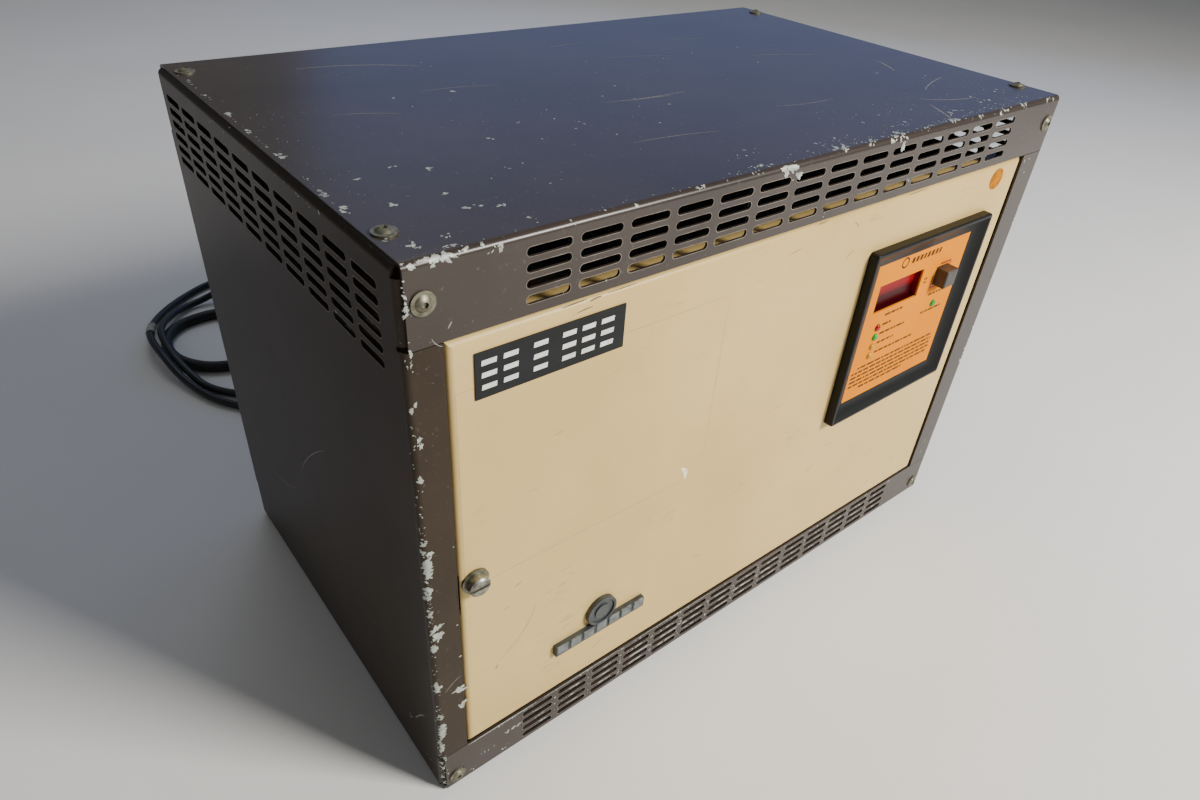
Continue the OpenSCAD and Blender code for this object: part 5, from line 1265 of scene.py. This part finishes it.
class CHARGER_OT_rectifier(bpy.types.Operator):
    """Finish the rectifier: heat sink, modules and busbars"""

    bl_idname = "charger.rectifier"
    bl_label = "Rectifier"

    def execute(self, context):
        # aluminium, extruded: grey, with die lines along its length
        aluminium = grained(
            "extruded_aluminium", "#b4b8ba", "#8e9396", 6, 0.34, 0.6, 0.03, stretch=(1, 1, 0.06),
            Metallic=1.0,
        )
        paint("heat_sink", material=aluminium)
        # epoxy, moulded: black and satin
        epoxy = grained("epoxy_moulding_black", "#2b2d31", "#1c1e21", 25, 0.5, 0.9, 0.05)
        paint("rectifier_modules", material=epoxy)
        # copper bar, rolled: orange-brown and bright
        copper = grained("rolled_copper_bar", "#b9744a", "#8d5130", 12, 0.3, 0.7, 0.02, Metallic=1.0)
        paint("output_busbars", material=copper)
        return {"FINISHED"}


class CHARGER_OT_switchgear(bpy.types.Operator):
    """Finish the switchgear, the fuse and the cable entries"""

    bl_idname = "charger.switchgear"
    bl_label = "Switchgear"

    def execute(self, context):
        # polycarbonate, moulded: light grey and satin
        pale = grained("polycarbonate_light_grey", "#dcdad2", "#c9c7be", 40, 0.42, 1.0, 0.03, IOR=1.58)
        paint("contactor", "circuit_breakers", material=pale)
        # polyamide, moulded: blue-grey and satin
        blue = grained("polyamide_blue_grey", "#9aa3a8", "#868f94", 20, 0.5, 1.0, 0.04, IOR=1.53)
        paint("terminal_blocks", material=blue)
        # steatite, pressed and glazed: off-white with a hard gloss
        steatite = grained(
            "glazed_steatite", "#e6e0d2", "#d6cebd", 15, 0.22, 2.0, 0.02, IOR=1.55, Coat_Weight=0.4
        )
        paint("fuse_base", "fuse_link", material=steatite)
        # polyamide, moulded: black with a fine grain
        black = grained("polyamide_gland_black", "#26292c", "#191b1d", 20, 0.5, 0.9, 0.05, IOR=1.53)
        paint("mains_gland", "battery_gland", "gland_nuts", "mains_plug", material=black)
        self.terminals()
        return {"FINISHED"}

    def terminals(self):
        """Screw heads in the devices' front steps: a low dome turned about Y."""
        # steel, cold-headed and zinc-plated: small bright heads
        steel = grained("terminal_screws", "#b9b7a8", "#8f8d80", 3, 0.35, 0.6, 0.03, Metallic=0.9)
        dome = [(0, 0.9), (1.2, 0.82), (2.0, 0.5), (2.3, 0.0), (2.3, -0.6), (0, -0.6)]
        parts = []
        for x in (76, 86, 96, 106, 123.8, 141.6):
            for z in (30, 94):
                parts += turned(dome, (x, -115.5, z), (0, -1, 0), 16)
        piece = make("terminal_screw_heads", parts, steel, "cabinet")


# The wires inside: name, light and dark tone, diameter, and the points of their routes
WIRES = (
    ("wire_black", "#1e2124", "#131517", 3.4, (
        [
            (-162, 154, 60), (-162, 140, 60), (-158, 134, 44), (-140, 138, 18), (-60, 142, 12),
            (10, 142, 10), (34, 128, 9), (40, 60, 8), (40, -40, 8), (46, -84, 9), (62, -112, 9),
            (76, -118, 12), (78, -110, 21),
        ],
        [
            (78, -100, 102.5), (78, -98, 122), (66, -84, 150), (50, -52, 178), (16, -28, 214),
            (-30, -20, 240), (-52, -17, 240),
        ],
    )),
    ("wire_blue", "#2d4f8a", "#213c6c", 3.4, (
        [
            (-158, 154, 62), (-157, 141, 62), (-152, 136, 46), (-136, 143, 22), (-60, 147, 16),
            (12, 147, 14), (38, 132, 13), (44, 60, 12), (44, -40, 12), (50, -82, 13),
            (70, -110, 12), (88, -116, 13), (90, -110, 21),
        ],
        [
            (90, -100, 102.5), (90, -97, 126), (72, -80, 158), (52, -48, 188), (20, -24, 220),
            (-40, -14, 244), (-88, -17, 240),
        ],
    )),
    ("wire_earth", "#6f9a2f", "#557a20", 3.4, (
        [
            (-160, 154, 57), (-161, 142, 56), (-166, 136, 40), (-178, 138, 16), (-194, 136, 9),
            (-206, 132, 9),
        ],
    )),
    ("wire_output", "#23262a", "#15171a", 9.0, (
        [
            (-100, 154, 60), (-100, 144, 60), (-90, 136, 46), (-70, 132, 26), (-20, 133, 22),
            (16, 132, 26), (34, 128, 60), (36, 126, 110), (32, 122, 160), (30, 118, 176),
        ],
    )),
    ("wire_brown", "#3d2c22", "#2a1d16", 7.0, (
        [(-55.2, 97, 236), (-40, 104, 243), (-10, 106, 248), (16, 98, 244), (28, 84, 238)],
        [
            (-155, 97, 236), (-140, 108, 246), (-80, 114, 252), (-10, 116, 254),
            (18, 106, 232), (28, 92, 214),
        ],
    )),
)


class CHARGER_OT_wiring(bpy.types.Operator):
    """Run the fixed wires inside the cabinet"""

    bl_idname = "charger.wiring"
    bl_label = "Wiring"

    def execute(self, context):
        for name, light, dark, wide, routes in WIRES:
            # PVC insulation, drawn over the strands: an even colour with a soft shine
            material = grained("pvc_" + name, light, dark, 20, 0.38, 1.0, 0.02, IOR=1.52)
            parts = []
            for route in routes:
                path = even(smooth_route(route, 8), 5.0)
                parts += tube(path, wide / 2, 10, up=(0.13, 0.21, 0.97))
            piece = make(name, parts, material, "cabinet")
        return {"FINISHED"}


class CHARGER_OT_stage(bpy.types.Operator):
    """Set the pale floor and the lights"""

    bl_idname = "charger.stage"
    bl_label = "Stage"

    def execute(self, context):
        s = context.scene.charger_stage
        # 30 m wide, and 0.2 mm under the feet
        k = np.linspace(-15000, 15000, 7)
        x, y = np.meshgrid(k, k, indexing="ij")
        p = np.stack([x, y, 0 * x - 0.2], -1)
        # paper, unrolled: matt, pale and plain
        paper = grained("matt_paper_floor", "#f1f1ef", "#ededeb", 400, 0.8, 20, 0.01, IOR=1.4)
        floor = make("floor", (p.reshape(-1, 3), quads_of(7, 7)), paper, None)
        # a warm key before the door, a cool light in the sky's place, a weak warm fill at the
        # left and a plain light from behind
        self.lamp("key", (0.95, -1.75, 1.5), (0.0, -0.1, 0.17), (0.7, 0.6), s.key, (1.0, 0.96, 0.9))
        self.lamp("cool", (1.5, 1.35, 1.15), (0.0, 0.0, 0.35), (2.7, 1.3), s.sky, (0.20, 0.38, 1.0))
        self.lamp("fill", (-1.6, -0.2, 0.9), (-0.27, 0.0, 0.25), (0.8, 0.8), 0.6, (1.0, 0.86, 0.68))
        self.lamp("back", (0.3, 1.7, 2.3), (0.0, 0.2, 0.15), (1.2, 1.2), 7, (0.95, 0.97, 1.0))
        world = bpy.data.worlds.new("room")
        world.use_nodes = True
        world.node_tree.nodes.clear()
        light = add(world.node_tree, "Background", {"Color": (0.92, 0.95, 1.0, 1.0), "Strength": s.room})
        add(world.node_tree, "OutputWorld", {"Surface": light})
        context.scene.world = world
        return {"FINISHED"}

    def lamp(self, name, place, aim, size, power, colour):
        """A rectangular lamp at one place that shines towards another."""
        light = bpy.data.lights.new(name, "AREA")
        light.shape = "RECTANGLE"
        light.size, light.size_y = size
        light.energy = power
        light.color = colour
        lamp = bpy.data.objects.new(name, light)
        bpy.context.scene.collection.objects.link(lamp)
        lamp.location = place
        lamp.rotation_euler = (Vector(aim) - Vector(place)).to_track_quat("-Z", "Y").to_euler()


OPERATORS = (
    CHARGER_OT_camera, CHARGER_OT_cords, CHARGER_OT_cabinet, CHARGER_OT_door, CHARGER_OT_control,
    CHARGER_OT_lock, CHARGER_OT_transformer, CHARGER_OT_rectifier, CHARGER_OT_switchgear,
    CHARGER_OT_wiring, CHARGER_OT_stage,
)


class CHARGER_PT_panel(bpy.types.Panel):
    """The charger's settings and pieces"""

    bl_idname = "CHARGER_PT_panel"
    bl_label = "Battery charger"
    bl_space_type = "VIEW_3D"
    bl_region_type = "UI"
    bl_category = "Charger"

    def draw(self, context):
        for name, group in SETTINGS.items():
            box = self.layout.box()
            for key in group.__annotations__:
                box.prop(getattr(context.scene, name), key)
        for operator in OPERATORS:
            self.layout.operator(operator.bl_idname)


def register():
    for group in SETTINGS.values():
        bpy.utils.register_class(group)
    for name, group in SETTINGS.items():
        setattr(bpy.types.Scene, name, PointerProperty(type=group))
    for operator in OPERATORS:
        bpy.utils.register_class(operator)
    bpy.utils.register_class(CHARGER_PT_panel)


def unregister():
    bpy.utils.unregister_class(CHARGER_PT_panel)
    for operator in reversed(OPERATORS):
        bpy.utils.unregister_class(operator)
    for name in SETTINGS:
        delattr(bpy.types.Scene, name)
    for group in SETTINGS.values():
        bpy.utils.unregister_class(group)


def main():
    """Make every piece in order."""
    register()
    bpy.ops.charger.camera()
    bpy.ops.charger.cords()
    bpy.ops.charger.cabinet()
    bpy.ops.charger.door()
    bpy.ops.charger.control()
    bpy.ops.charger.lock()
    bpy.ops.charger.transformer()
    bpy.ops.charger.rectifier()
    bpy.ops.charger.switchgear()
    bpy.ops.charger.wiring()
    bpy.ops.charger.stage()
    bpy.context.view_layer.update()


if __name__ == "__main__":
    main()
